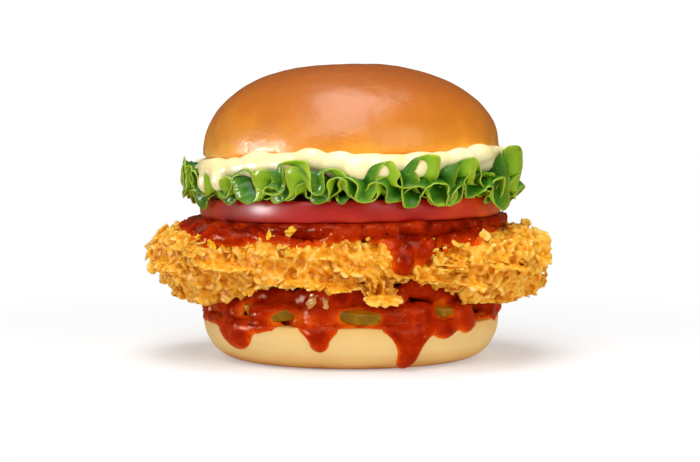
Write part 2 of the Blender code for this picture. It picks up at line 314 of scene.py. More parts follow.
def dress(piece: bpy.types.Object, material: bpy.types.Material, slot: str, *nodes: str) -> bpy.types.Object:
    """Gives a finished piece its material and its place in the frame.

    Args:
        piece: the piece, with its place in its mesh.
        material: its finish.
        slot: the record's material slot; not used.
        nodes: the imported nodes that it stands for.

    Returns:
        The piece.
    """
    piece.data.materials.clear()
    piece.data.materials.append(material)
    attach(piece, "root")
    if nodes:
        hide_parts(*nodes)
    LOG.info("%s: %d triangles", piece.name, sum(len(face.vertices) - 2 for face in piece.data.polygons))
    return piece


def note(piece: bpy.types.Object, name: str, values: np.ndarray) -> None:
    """Writes one number for each vertex, which a material reads by that name."""
    attribute = piece.data.attributes.new(name, "FLOAT", "POINT")
    attribute.data.foreach_set("value", values.astype(np.float32))


def proud(piece: bpy.types.Object, reach: int, scale: float) -> np.ndarray:
    """How far each vertex stands out of its surroundings.

    Args:
        piece: the piece, which stays as it is.
        reach: how many rounds of smoothing the surroundings are.
        scale: the height that counts as 1.

    Returns:
        -1 in a hollow to 1 on a tip, one value for each vertex.
    """
    twin = piece.copy()
    twin.data = piece.data.copy()
    bpy.context.scene.collection.objects.link(twin)
    modify(twin, "SMOOTH", factor=0.5, iterations=reach)
    rise = np.einsum("ij,ij->i", points_of(piece) - points_of(twin), normals_of(piece))
    bpy.data.objects.remove(twin)
    return np.clip(rise / scale, -1, 1)


# ---------------------------------------------------------------- materials


def linear(colour: str) -> tuple[float, float, float, float]:
    """An sRGB hex colour, such as "d98a2b", as the linear colour that shaders take."""
    shares = [int(colour[i : i + 2], 16) / 255 for i in (0, 2, 4)]
    return (*(s / 12.92 if s <= 0.04045 else ((s + 0.055) / 1.055) ** 2.4 for s in shares), 1.0)


def add_node(
    tree: bpy.types.NodeTree, kind: str, links: Optional[dict] = None, inputs: Optional[dict] = None, **settings: object
) -> bpy.types.Node:
    """Adds a node with its settings and links.

    Args:
        tree: the node tree.
        kind: the node's type.
        links: input name or number to the output socket that feeds it.
        inputs: input name or number to its value.
        settings: the node's own properties.

    Returns:
        The node.
    """
    node = tree.nodes.new(kind)
    for name, value in settings.items():
        setattr(node, name, value)
    for name, value in (inputs or {}).items():
        node.inputs[name].default_value = value
    for name, source in (links or {}).items():
        tree.links.new(source, node.inputs[name])
    return node


@dataclass(frozen=True)
class Pattern:
    """A noise that a finish reads in the piece's own space."""

    size: float
    detail: float = 3.0
    roughness: float = 0.55
    stretch: tuple[float, float, float] = (1.0, 1.0, 1.0)

    def build(self, tree: bpy.types.NodeTree) -> bpy.types.NodeSocket:
        """Adds the noise; its size is the width of a bump, in metres. Returns its value."""
        place = add_node(tree, "ShaderNodeTexCoord")
        mapping = add_node(
            tree, "ShaderNodeMapping", {"Vector": place.outputs["Object"]}, {"Scale": tuple(1 / s for s in self.stretch)}
        )
        noise = add_node(
            tree,
            "ShaderNodeTexNoise",
            {"Vector": mapping.outputs[0]},
            {"Scale": 1 / self.size, "Detail": self.detail, "Roughness": self.roughness},
        )
        return noise.outputs["Fac"]


@dataclass(frozen=True)
class Finish:
    """What every food surface here shares: a Principled shader with a colour ramp, sheen of wet or dry, and relief."""

    name: str
    roughness: float
    subsurface: float = 0.0
    depth: float = 1.0 * MM
    tint: tuple[float, float, float] = (1.0, 0.4, 0.2)
    coat: float = 0.0
    coat_roughness: float = 0.1
    ior: float = 1.45

    def start(self) -> tuple[bpy.types.Material, bpy.types.NodeTree, bpy.types.Node]:
        """A new material with the constants of this finish on its shader. Returns it, its tree and the shader."""
        material = bpy.data.materials.new(self.name)
        material.use_nodes = True
        tree = material.node_tree
        shader = tree.nodes["Principled BSDF"]
        shader.inputs["Roughness"].default_value = self.roughness
        shader.inputs["IOR"].default_value = self.ior
        shader.inputs["Subsurface Weight"].default_value = self.subsurface
        shader.inputs["Subsurface Radius"].default_value = self.tint
        shader.inputs["Subsurface Scale"].default_value = self.depth
        shader.inputs["Coat Weight"].default_value = self.coat
        shader.inputs["Coat Roughness"].default_value = self.coat_roughness
        return material, tree, shader


def ramp(
    tree: bpy.types.NodeTree, value: bpy.types.NodeSocket, stops: Sequence[tuple[float, str]]
) -> bpy.types.NodeSocket:
    """Turns a value into a colour by stops of (value, sRGB hex)."""
    node = add_node(tree, "ShaderNodeValToRGB", {"Fac": value})
    elements = node.color_ramp.elements
    while len(elements) < len(stops):
        elements.new(0.5)
    for element, (place, colour) in zip(elements, stops):
        element.position = place
        element.color = linear(colour)
    return node.outputs["Color"]


def mixed(
    tree: bpy.types.NodeTree,
    factor: object,
    first: object,
    second: object,
    blend: str = "MIX",
) -> bpy.types.NodeSocket:
    """Mixes two colours; the factor and either colour may be a socket, a number or an sRGB hex colour."""
    node = add_node(tree, "ShaderNodeMix", data_type="RGBA", blend_type=blend)
    for place, value in ((0, factor), (6, first), (7, second)):
        if isinstance(value, bpy.types.NodeSocket):
            tree.links.new(value, node.inputs[place])
        else:
            node.inputs[place].default_value = linear(value) if isinstance(value, str) else value
    return node.outputs[2]


def maths(tree: bpy.types.NodeTree, operation: str, *values: object) -> bpy.types.NodeSocket:
    """One sum of sockets or numbers, by the Math node's operation name."""
    node = add_node(tree, "ShaderNodeMath", operation=operation)
    for place, value in enumerate(values):
        if isinstance(value, bpy.types.NodeSocket):
            tree.links.new(value, node.inputs[place])
        else:
            node.inputs[place].default_value = value
    return node.outputs[0]


def span(
    tree: bpy.types.NodeTree, value: bpy.types.NodeSocket, low: float, high: float, start: float = 0.0, end: float = 1.0
) -> bpy.types.NodeSocket:
    """Maps low to high onto start to end, and holds the ends."""
    node = add_node(
        tree,
        "ShaderNodeMapRange",
        {"Value": value},
        {"From Min": low, "From Max": high, "To Min": start, "To Max": end},
        interpolation_type="SMOOTHSTEP",
    )
    return node.outputs["Result"]


def bump(
    tree: bpy.types.NodeTree, shader: bpy.types.Node, height: bpy.types.NodeSocket, rise: float, strength: float = 1.0
) -> None:
    """Adds relief of that rise, in metres, to a shader's normal."""
    links = {"Height": height}
    if shader.inputs["Normal"].links:
        links["Normal"] = shader.inputs["Normal"].links[0].from_socket
    node = add_node(tree, "ShaderNodeBump", links, {"Strength": strength, "Distance": rise})
    tree.links.new(node.outputs["Normal"], shader.inputs["Normal"])


def position(tree: bpy.types.NodeTree, axis: int) -> bpy.types.NodeSocket:
    """One coordinate of the piece's own space: 0 is X, 1 is Y, 2 is Z."""
    place = add_node(tree, "ShaderNodeTexCoord")
    parts = add_node(tree, "ShaderNodeSeparateXYZ", {"Vector": place.outputs["Object"]})
    return parts.outputs[axis]


def read(tree: bpy.types.NodeTree, name: str) -> bpy.types.NodeSocket:
    """The number that note() wrote on the mesh."""
    return add_node(tree, "ShaderNodeAttribute", attribute_name=name).outputs["Fac"]


# ---------------------------------------------------------------- bread


@dataclass(frozen=True)
class BakedGlaze(Finish):
    """Bread crust baked brown under an egg wash: dark on top, golden at its foot, with a satin film on fine wrinkles."""

    name: str = "egg_washed_bread_crust"
    roughness: float = 0.5
    subsurface: float = 0.06
    depth: float = 1.5 * MM
    tint: tuple[float, float, float] = (1.0, 0.4, 0.08)
    coat: float = 0.85
    coat_roughness: float = 0.28
    ior: float = 1.33
    bottom: float = 0.066
    top: float = 0.097

    def build(self) -> bpy.types.Material:
        """Browns the crust by its height, with soft blotches, and paints its very foot paler as bounce light from
        below. Returns the material.
        """
        material, tree, shader = self.start()
        blotch = Pattern(18 * MM, detail=4).build(tree)
        height = span(tree, position(tree, 2), self.bottom, self.top)
        height.node.interpolation_type = "LINEAR"
        wobble = maths(tree, "MULTIPLY_ADD", maths(tree, "SUBTRACT", blotch, 0.5), 0.5, height)
        # the crust's own browning by height; the palest stops at the very foot are also painted bounce light from below
        browned = ramp(
            tree,
            wobble,
            [(0.0, "f9bd52"), (0.08, "f5aa26"), (0.2, "de8c10"), (0.42, "c2700c"), (0.75, "b05e0a"), (1.0, "a8540c")],
        )
        fleck = Pattern(1.1 * MM, detail=3).build(tree)
        colour = mixed(tree, span(tree, fleck, 0.35, 0.75, 0.0, 0.35), browned, "f0a020", "SOFT_LIGHT")
        tree.links.new(colour, shader.inputs["Base Color"])
        bump(tree, shader, Pattern(2.6 * MM, 4, 0.6, (1.3, 1.3, 0.8)).build(tree), 0.3 * MM, 0.7)
        bump(tree, shader, Pattern(0.7 * MM, 2, 0.5).build(tree), 0.07 * MM, 0.5)
        tree.links.new(shader.inputs["Normal"].links[0].from_socket, shader.inputs["Coat Normal"])
        return material


@dataclass(frozen=True)
class SoftCrumb(Finish):
    """Pale soft side of a steamed bun: matt, a little translucent, toasted brown where it stood on the tin."""

    name: str = "soft_pale_bread"
    roughness: float = 0.72
    ior: float = 1.35
    subsurface: float = 0.25
    depth: float = 3 * MM
    tint: tuple[float, float, float] = (1.0, 0.6, 0.3)
    height: float = 0.014

    def build(self) -> bpy.types.Material:
        """Toasts the foot and warms the cut edge. Returns the material."""
        material, tree, shader = self.start()
        blotch = Pattern(9 * MM, 3, 0.5, (1.5, 1.5, 0.6)).build(tree)
        height = span(tree, position(tree, 2), 0.0, self.height)
        height.node.interpolation_type = "LINEAR"
        wobble = maths(tree, "MULTIPLY_ADD", maths(tree, "SUBTRACT", blotch, 0.5), 0.22, height)
        toasted = ramp(
            tree,
            wobble,
            [(0.0, "a05a1c"), (0.07, "cc8a3c"), (0.2, "e4b466"), (0.45, "edc983"), (0.75, "edc77e"), (1.0, "e8bb6c")],
        )
        tree.links.new(toasted, shader.inputs["Base Color"])
        bump(tree, shader, Pattern(4.0 * MM, 3, 0.5, (1.8, 1.8, 0.5)).build(tree), 0.35 * MM, 0.5)
        bump(tree, shader, Pattern(0.8 * MM, 3).build(tree), 0.08 * MM, 0.6)
        return material


@dataclass
class BunCrown:
    """The domed lid of the bun: nearly half an ellipsoid on a rounded lip, set down slightly askew."""

    segments: int = 256
    rings: int = 72
    lip: float = 3.4 * MM
    sag: float = 0.9 * MM
    fullness: float = 0.9
    tilt: float = 1.4

    def build(self) -> bpy.types.Object:
        """Turns the dome, dents it softly and tilts it. Returns the piece."""
        low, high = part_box("bun_crown")
        radius = high.x - 0.2 * MM
        waist = low.z + self.lip - self.sag
        lip = arc((radius - 3 * self.lip, waist), (3 * self.lip, self.lip), -82, 0, 8)
        dome = [
            (radius * math.cos(turn) ** self.fullness, waist + (high.z - waist) * math.sin(turn) ** self.fullness)
            for turn in np.radians(np.linspace(0, 89.6, self.rings + 1))
        ]
        piece = turned("bun_crown_bread", lip[:-1] + dome, self.segments)
        points = points_of(piece)
        noise = Noise(3)
        dents = 0.55 * MM * noise.at(points, 24 * MM) + 0.12 * MM * noise.at(points, 7 * MM, 2)
        points += normals_of(piece) * (dents - 0.2 * MM)[:, None]
        points[:, 2] += np.tan(math.radians(self.tilt)) * points[:, 0] * smooth_step(high.z, low.z, points[:, 2])
        points[:, 2] = np.minimum(points[:, 2], high.z)
        place_points(piece, points)
        glaze = BakedGlaze(bottom=low.z, top=high.z)
        return dress(piece, glaze.build(), "bread_glazed", "bun_crown")


@dataclass
class BunHeel:
    """The bottom of the bun: flat base, rounded foot, side that leans out to the cut edge."""

    segments: int = 256
    rings: int = 26
    base: float = 0.75
    brim: float = 0.985
    rim: float = 0.9 * MM

    def build(self) -> bpy.types.Object:
        """Turns the heel and lets its side swell unevenly. Returns the piece."""
        low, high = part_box("bun_heel")
        base, brim = high.x * self.base, high.x * self.brim
        side = arc((base, high.z - self.rim), (brim - base, high.z - self.rim - low.z), -90, 0, self.rings)
        rim = arc((brim - self.rim, high.z - self.rim), (self.rim, self.rim), 0, 90, 5)
        piece = turned("bun_heel_bread", side[:-1] + rim, self.segments)
        points = points_of(piece)
        noise = Noise(5)
        swell = 0.5 * MM * noise.at(points * (1, 1, 0.4), 16 * MM) + 0.15 * MM * noise.at(points, 5 * MM)
        out = normals_of(piece) * (1, 1, 0.3)
        side_share = smooth_step(0.0, 2.5 * MM, points[:, 2])
        points += out * ((swell - 0.25 * MM) * side_share)[:, None]
        place_points(piece, points)
        return dress(piece, SoftCrumb(height=high.z).build(), "bread_pale", "bun_heel")


# ---------------------------------------------------------------- tomato


@dataclass(frozen=True)
class TomatoSkin(Finish):
    """Ripe tomato: a thin clear skin over wet flesh, crimson with orange patches and pale pin specks."""

    name: str = "ripe_tomato_skin"
    roughness: float = 0.4
    ior: float = 1.36
    subsurface: float = 0.3
    depth: float = 3 * MM
    tint: tuple[float, float, float] = (1.0, 0.25, 0.12)
    coat: float = 0.6
    coat_roughness: float = 0.28

    def build(self) -> bpy.types.Material:
        """Colours the skin unevenly and more orange towards the right, and paints its shaded left side brighter as
        painted light. Returns the material.
        """
        material, tree, shader = self.start()
        patch = Pattern(26 * MM, 3, 0.5).build(tree)
        shader.inputs["Coat IOR"].default_value = 1.4
        patch = maths(tree, "ADD", patch, span(tree, position(tree, 0), 0.0, 42 * MM, -0.06, 0.26))
        # painted light: the left side, which the lamps leave in shade, is moved up the ramp to a brighter, more orange
        # red
        patch = maths(tree, "ADD", patch, span(tree, position(tree, 0), -28 * MM, -46 * MM, 0.0, 0.22))
        ripe = ramp(tree, patch, [(0.3, "b60e04"), (0.5, "c01804"), (0.68, "d83604"), (0.85, "e85408")])
        speck = Pattern(0.5 * MM, 0).build(tree)
        colour = mixed(tree, span(tree, speck, 0.80, 0.86, 0.0, 0.45), ripe, "e8a080")
        tree.links.new(colour, shader.inputs["Base Color"])
        bump(tree, shader, Pattern(5 * MM, 2).build(tree), 0.1 * MM, 0.4)
        return material


@dataclass
class TomatoSlice:
    """One thick slice with a crisp cut edge above and below a bulging skin."""

    segments: int = 144
    bulge: float = 0.9 * MM
    edge: float = 0.35 * MM
    lobes: int = 5
    tilt: float = 0.9

    def build(self) -> bpy.types.Object:
        """Turns the slice, gives it the fruit's soft lobes and sets it down askew. Returns the piece."""
        low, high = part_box("tomato_slice")
        radius = high.x - 0.1 * MM
        middle = (low.z + high.z) / 2
        half = (high.z - low.z) / 2
        skin = arc((radius - self.bulge, middle), (self.bulge, half), -78, 78, 14)
        bottom = [(skin[0][0] - 1.6 * self.edge, low.z)]
        top = [(skin[-1][0] - 1.6 * self.edge, high.z)]
        piece = turned("tomato_slice_flesh", bottom + skin + top, self.segments)
        points = points_of(piece)
        angle = np.arctan2(points[:, 1], points[:, 0])
        lobed = 1 - 0.005 * (1 + np.sin(self.lobes * angle + 2.2)) + 0.004 * np.sin(11 * angle)
        points[:, :2] *= lobed[:, None]
        points[:, 2] += math.tan(math.radians(self.tilt)) * points[:, 0]
        place_points(piece, points)
        return dress(piece, TomatoSkin().build(), "tomato", "tomato_slice")


# ---------------------------------------------------------------- chicken


@dataclass(frozen=True)
class FriedCrust(Finish):
    """Deep-fried flour crust: golden, with a little oil on it; its paler tips are painted highlight and its brown
    hollows painted shade.
    """

    name: str = "crisp_fried_crust"
    roughness: float = 0.42
    subsurface: float = 0.25
    depth: float = 1.5 * MM
    tint: tuple[float, float, float] = (1.0, 0.5, 0.1)
    coat: float = 0.08
    coat_roughness: float = 0.25
    ior: float = 1.38

    def build(self) -> bpy.types.Material:
        """Paints highlight on the tips and shade in the hollows by how far the crust stands proud, and browns it
        unevenly over its length. Returns the material.
        """
        material, tree, shader = self.start()
        shader.inputs["Specular Tint"].default_value = (1.0, 0.8, 0.5, 1.0)
        # painted light and shade: the proud value makes tips paler and hollows darker brown
        stands = span(tree, read(tree, "proud"), -1.3, 1.2)
        stands.node.interpolation_type = "LINEAR"
        patch = maths(tree, "SUBTRACT", Pattern(11 * MM, 4).build(tree), 0.5)
        value = maths(tree, "MULTIPLY_ADD", patch, 0.55, stands)
        fried = ramp(
            tree,
            value,
            [(0.0, "9a4204"), (0.2, "c97008"), (0.38, "e8940e"), (0.55, "f3aa2a"), (0.75, "fac24e"), (1.0, "fedc90")],
        )
        grain = Pattern(1.3 * MM, 4, 0.6).build(tree)
        colour = mixed(tree, span(tree, grain, 0.55, 0.72, 0.0, 0.35), fried, "d98a24", "MIX")
        tree.links.new(colour, shader.inputs["Base Color"])
        bump(tree, shader, Pattern(1.5 * MM, 5, 0.6).build(tree), 0.3 * MM, 0.6)
        return material


@dataclass(frozen=True)
class SaffronCrumb(Finish):
    """Crumbs of crust soaked with seasoning: bright yellow and glossy with oil."""

    name: str = "seasoned_yellow_crumb"
    roughness: float = 0.4
    subsurface: float = 0.3
    depth: float = 1.2 * MM
    tint: tuple[float, float, float] = (1.0, 0.6, 0.1)
    coat: float = 0.1

    def build(self) -> bpy.types.Material:
        """Mottles the yellow. Returns the material."""
        material, tree, shader = self.start()
        mottle = Pattern(1.2 * MM, 3).build(tree)
        tree.links.new(ramp(tree, mottle, [(0.35, "e09400"), (0.6, "f6c000"), (0.8, "ffd61e")]), shader.inputs["Base Color"])
        return material


@dataclass(frozen=True)
class Flakes:
    """A batch of curled crumbs: how many, how wide and thick, how far they lean out, and how deep they are set."""

    count: int
    width: tuple[float, float]
    thickness: float
    lean: tuple[float, float]
    sunk: float
    curl: float
    rough: float
    # how much they lie along the layers, 0 for any way round
    shelf: float

    def place(self, seed: int, spots: np.ndarray, outward: np.ndarray, ball: "Ball") -> tuple[np.ndarray, np.ndarray]:
        """Bends one ball into a flake at each spot.

        Args:
            seed: draws widths, turns and outlines.
            spots: where the flakes sit, one in each row; they are drawn from these.
            outward: the surface's direction at each spot.
            ball: the round body that is bent.

        Returns:
            The points and the faces of all the flakes.
        """
        draw = np.random.default_rng(seed)
        pick = draw.integers(0, len(spots), self.count)
        centre, up = spots[pick], outward[pick]
        half = (draw.uniform(*self.width, self.count) * draw.uniform(0.7, 1.15, self.count)) / 2
        side = np.cross(up, draw.normal(size=(self.count, 3)) + (0, 0, self.shelf))
        side /= np.linalg.norm(side, axis=1)[:, None]
        lean = np.radians(draw.uniform(*self.lean, self.count))[:, None]
        face = up * np.cos(lean) + np.cross(side, up) * np.sin(lean)
        other = np.cross(face, side)
        unit = ball.points
        round_about = np.arctan2(unit[:, 1], unit[:, 0])
        phase = draw.uniform(0, TAU, (self.count, 3, 1))
        outline = 1 + self.rough * (
            0.4 * np.sin(2 * round_about + phase[:, 0])
            + 0.35 * np.sin(4 * round_about + phase[:, 1])
            + 0.3 * np.sin(7 * round_about + phase[:, 2])
        )
        wide = half[:, None] * outline * unit[:, 0]
        long = half[:, None] * draw.uniform(0.55, 1.0, (self.count, 1)) * outline * unit[:, 1]
        bend = draw.uniform(-0.3, 1.0, (self.count, 1)) * self.curl / half[:, None]
        twist = draw.uniform(-0.6, 0.6, (self.count, 1)) * self.curl / half[:, None]
        ripple = 0.14 * half[:, None] * np.sin(4.4 * unit[:, 0] + 3.1 * unit[:, 1] + phase[:, 0])
        high = self.thickness / 2 * np.sign(unit[:, 2]) * np.abs(unit[:, 2]) ** 0.6 + bend * wide**2 + twist * wide * long + ripple
        at = centre[:, None] + side[:, None] * wide[..., None] + other[:, None] * long[..., None]
        at += face[:, None] * high[..., None] + up[:, None] * ((0.45 * np.sin(lean) * half[:, None]) - self.sunk)[:, None]
        faces = ball.faces[None] + (np.arange(self.count) * len(unit))[:, None, None]
        return at.reshape(-1, 3), faces.reshape(-1, ball.faces.shape[1])


class Ball:
    """A unit icosphere, the body that small crumbs are bent from and soft lumps are melted from."""

    def __init__(self, level: int) -> None:
        """Makes the sphere once, of that fineness, and keeps its points and faces."""
        bpy.ops.mesh.primitive_ico_sphere_add(subdivisions=level, radius=1.0, location=(0, 0, 0))
        sphere = bpy.context.object
        self.points = points_of(sphere)
        self.faces = np.array([tuple(face.vertices) for face in sphere.data.polygons])
        bpy.data.objects.remove(sphere)

    def lumps(self, spots: np.ndarray, halves: np.ndarray) -> tuple[np.ndarray, np.ndarray]:
        """Lumps set round the burger.

        Args:
            spots: (direction in degrees, distance from the axis, height), one row for each lump.
            halves: half sizes (round, outwards, up) of each lump.

        Returns:
            The points and the faces of all the lumps.
        """
        turn = np.radians(spots[:, 0])[:, None]
        out = spots[:, 1:2] + halves[:, 1:2] * self.points[:, 1]
        along = halves[:, 0:1] * self.points[:, 0]
        up = spots[:, 2:3] + halves[:, 2:3] * self.points[:, 2]
        at = np.stack([out * np.cos(turn) - along * np.sin(turn), out * np.sin(turn) + along * np.cos(turn), up], -1)
        faces = self.faces[None] + (np.arange(len(spots)) * len(self.points))[:, None, None]
        return at.reshape(-1, 3), faces.reshape(-1, 3)


@dataclass(frozen=True)
class Ledge:
    """A long shelf of crust, from one direction and height to another, that stands out and hangs a little."""

    start: float
    start_height: float
    end: float
    end_height: float
    out: float
    thickness: float

    def place(self, seed: int, outline: np.ndarray, ball: "Ball") -> tuple[np.ndarray, np.ndarray]:
        """Bends a ball into the shelf.

        Args:
            seed: draws its outline.
            outline: (direction in degrees, distance from the axis) of the body it grows from.
            ball: the round body that is bent.

        Returns:
            The points and the faces.
        """
        along, out, up = ball.points.T
        noise = Noise(seed)
        span_of = np.stack([along * 4.0, out * 0.8, up * 0.8], -1)
        ragged = 1 + 0.3 * noise.at(span_of, 1.0, 2)
        turn = np.radians(0.5 * (self.start + self.end) + 0.5 * (self.end - self.start) * along)
        reach = self.out * (0.55 + 0.45 * np.sqrt(np.maximum(1 - along**2, 0))) * ragged
        far = np.interp(np.degrees(turn), *outline.T, period=360) + out * reach
        middle = 0.5 * (self.start_height + self.end_height) + 0.5 * (self.end_height - self.start_height) * along
        wave = 0.7 * MM * noise.at(span_of + 7.0, 1.2)
        height = middle + up * self.thickness * 0.5 + wave - 0.32 * np.maximum(out, 0) * reach
        return np.stack([far * np.cos(turn), far * np.sin(turn), height], -1), ball.faces


@dataclass
class ChickenFillet:
    """The fillet: a thick core under a crust of melted-together flakes, and a layer of crisp loose ones."""

    seed: int = 11
    core_voxel: float = 1.3 * MM
    crust_voxel: float = 0.72 * MM
    top: float = 45.7 * MM
    bottom: float = 20.6 * MM
    tuck: float = 0.08
    # (direction in degrees, spread in degrees, drop of the lower edge)
    skirts: tuple[tuple[float, float, float], ...] = (
        (-60, 15, -3.6 * MM),
        (-95, 7, 2.4 * MM),
        (-79, 5, 1.6 * MM),
        (-118, 9, -1.2 * MM),
        (-150, 12, 1.0 * MM),
        (-28, 10, 1.6 * MM),
    )
    batches: tuple[Flakes, ...] = (
        Flakes(150, (8 * MM, 12 * MM), 1.6 * MM, (15, 50), 0.5 * MM, 0.9, 0.24, 1.8),
        Flakes(800, (4.0 * MM, 7.0 * MM), 1.3 * MM, (25, 65), 0.1 * MM, 1.0, 0.26, 1.4),
        Flakes(1500, (1.8 * MM, 3.6 * MM), 1.5 * MM, (20, 80), -0.6 * MM, 0.5, 0.28, 0.5),
    )
    ledges: tuple[Ledge, ...] = (
        Ledge(-146, 34.0 * MM, -121, 32.5 * MM, 5.4 * MM, 2.6 * MM),
        Ledge(-121, 29.0 * MM, -103, 28.5 * MM, 5.4 * MM, 1.3 * MM),
        Ledge(-112, 29.5 * MM, -86, 26.6 * MM, 6.4 * MM, 1.3 * MM),
        Ledge(-104, 37.6 * MM, -92, 36.0 * MM, 5.0 * MM, 1.4 * MM),
        Ledge(-97, 34.0 * MM, -84, 31.6 * MM, 5.8 * MM, 1.4 * MM),
        Ledge(-86, 23.6 * MM, -72, 23.0 * MM, 4.6 * MM, 2.4 * MM),
        Ledge(-84, 37.4 * MM, -77, 32.0 * MM, 5.4 * MM, 1.7 * MM),
        Ledge(-66, 33.0 * MM, -50, 34.6 * MM, 6.2 * MM, 1.3 * MM),
        Ledge(-65, 29.4 * MM, -54, 29.4 * MM, 5.4 * MM, 1.4 * MM),
        Ledge(-56, 29.0 * MM, -45, 26.6 * MM, 5.6 * MM, 1.9 * MM),
        Ledge(-45, 34.0 * MM, -25, 31.0 * MM, 5.6 * MM, 1.8 * MM),
        Ledge(-168, 34.0 * MM, -149, 31.0 * MM, 5.4 * MM, 1.6 * MM),
        Ledge(20, 34.0 * MM, 44, 31.0 * MM, 5.6 * MM, 1.4 * MM),
        Ledge(62, 30.0 * MM, 84, 33.0 * MM, 5.6 * MM, 1.4 * MM),
        Ledge(104, 34.0 * MM, 130, 31.5 * MM, 5.8 * MM, 1.5 * MM),
        Ledge(150, 29.5 * MM, 172, 32.5 * MM, 5.4 * MM, 1.4 * MM),
    )
    crumbs: tuple[Flakes, ...] = (
        Flakes(760, (1.8 * MM, 4.6 * MM), 0.6 * MM, (20, 70), 0.35 * MM, 0.9, 0.32, 1.0),
        Flakes(220, (1.0 * MM, 2.0 * MM), 1.0 * MM, (0, 60), 0.3 * MM, 0.3, 0.3, 0.0),
    )

    def build(self) -> list[bpy.types.Object]:
        """Builds the crust and its crumbs. Returns both pieces."""
        crust = self._core()
        spots, outward = self._spots(crust)
        outline = self._outline(crust)
        parts = [batch.place(self.seed + i, spots, outward, Ball(3)) for i, batch in enumerate(self.batches)]
        parts += [ledge.place(self.seed + 20 + i, outline, Ball(5)) for i, ledge in enumerate(self.ledges)]
        crust = melted("chicken_crust", [crust], parts, self.crust_voxel, 0)
        self._press(crust)
        noise = Noise(self.seed)
        points = points_of(crust)
        hollow = np.maximum(-0.25 * MM - proud(crust, 20, 1.0), 0)
        billows = 0.85 * MM * (np.abs(noise.at(points, 3.0 * MM)) - 0.3)
        billows += 0.5 * MM * (np.abs(Noise(self.seed + 7).at(points, 1.6 * MM)) - 0.3)
        points += normals_of(crust) * (billows + 0.8 * hollow)[:, None]
        place_points(crust, points)
        self._thin_hidden(crust)
        # the crust's finish paints highlight on the tips and shade in the hollows from this value
        note(crust, "proud", proud(crust, 14, 0.5 * MM))
        finish = FriedCrust().build()
        dress(crust, finish, "crust", "chicken_fillet")
        return [crust, self._crumbs(crust, finish)]

    def _core(self) -> bpy.types.Object:
        """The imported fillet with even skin, big lumps and an uneven lower edge."""
        core = copied("chicken_fillet", "chicken_core")
        remesh(core, self.core_voxel, 4)
        points = points_of(core)
        angle = np.arctan2(points[:, 1], points[:, 0])
        low = smooth_step(38 * MM, 24 * MM, points[:, 2])
        for direction, spread, drop in self.skirts:
            away = away_from(angle, direction) / math.radians(spread)
            points[:, 2] -= drop * np.exp(-(away**2)) * low
        points[:, :2] *= 1 - self.tuck * smooth_step(33 * MM, 20 * MM, points[:, 2:])
        place_points(core, points)
        noise = Noise(self.seed + 5)
        lumps = 1.9 * MM * noise.at(points, 13 * MM) + 0.9 * MM * noise.at(points, 6 * MM)
        inward = normals_of(core) * (1, 1, 0.25) * 2.9 * MM
        place_points(core, points + normals_of(core) * lumps[:, None] - inward)
        return core

    @staticmethod
    def _outline(core: bpy.types.Object) -> np.ndarray:
        """The core's widest distance from the axis in each direction, in degrees."""
        points = points_of(core)
        points = points[np.abs(points[:, 2] - 33 * MM) < 5 * MM]
        turn, radius = np.degrees(np.arctan2(points[:, 1], points[:, 0])), np.hypot(points[:, 0], points[:, 1])
        middles = np.arange(-180, 180, 6.0)
        return np.array([(m, radius[np.abs(turn - m) < 4].max()) for m in middles])

    @staticmethod
    def _spots(core: bpy.types.Object) -> tuple[np.ndarray, np.ndarray]:
        """The places of a skin where flakes may sit, away from what the layers above and below hide."""
        points, outward = points_of(core), normals_of(core)
        radius = np.hypot(points[:, 0], points[:, 1])
        seen = (radius > 44 * MM) | (np.abs(outward[:, 2]) < 0.5)
        return points[seen], outward[seen]

    def _press(self, crust: bpy.types.Object) -> None:
        """Presses the crust flat under the tomato and over the gherkins."""
        points = points_of(crust)
        radius = np.hypot(points[:, 0], points[:, 1])
        ceiling = self.top + 3.5 * MM * smooth_step(51 * MM, 56 * MM, radius)
        floor = self.bottom - 1.0 * MM * smooth_step(48 * MM, 54 * MM, radius)
        over = np.maximum(points[:, 2] - ceiling, 0)
        under = np.maximum(floor - points[:, 2], 0)
        points[:, 2] += 0.92 * (under - over)
        place_points(crust, points)

    @staticmethod
    def _thin_hidden(crust: bpy.types.Object) -> None:
        """Drops detail where the sauces, the tomato and the heel hide the crust."""
        points = points_of(crust)
        hidden = np.flatnonzero(np.hypot(points[:, 0], points[:, 1]) < 39 * MM)
        group = crust.vertex_groups.new(name="hidden")
        group.add(hidden.tolist(), 1.0, "REPLACE")
        share = len(hidden) / len(points)
        modify(crust, "DECIMATE", ratio=1 - 0.97 * share, vertex_group="hidden")
        crust.vertex_groups.clear()

    def _crumbs(self, crust: bpy.types.Object, finish: bpy.types.Material) -> bpy.types.Object:
        """The thin flakes that stand loose on the crust, painted paler where they stand free of it and darker where
        they touch it.
        """
        spots, outward = self._spots(crust)
        crowded = Noise(self.seed + 2).at(spots, 9 * MM) > 0.0
        spots, outward = spots[crowded], outward[crowded]
        parts = [batch.place(self.seed + 40 + i, spots, outward, Ball(2)) for i, batch in enumerate(self.crumbs)]
        crumbs = joined("chicken_crumbs", parts)
        self._press(crumbs)
        tree = BVHTree.FromPolygons([v.co for v in crust.data.vertices], [f.vertices for f in crust.data.polygons])
        # painted light and shade: the further a crumb's point stands from the crust, the paler it is painted
        free = np.array([tree.find_nearest(vertex.co)[3] for vertex in crumbs.data.vertices])
        note(crumbs, "proud", 0.85 * np.clip(free / (1.3 * MM), 0, 1) - 0.3)
        return dress(crumbs, finish, "crust")


# ---------------------------------------------------------------- sauces


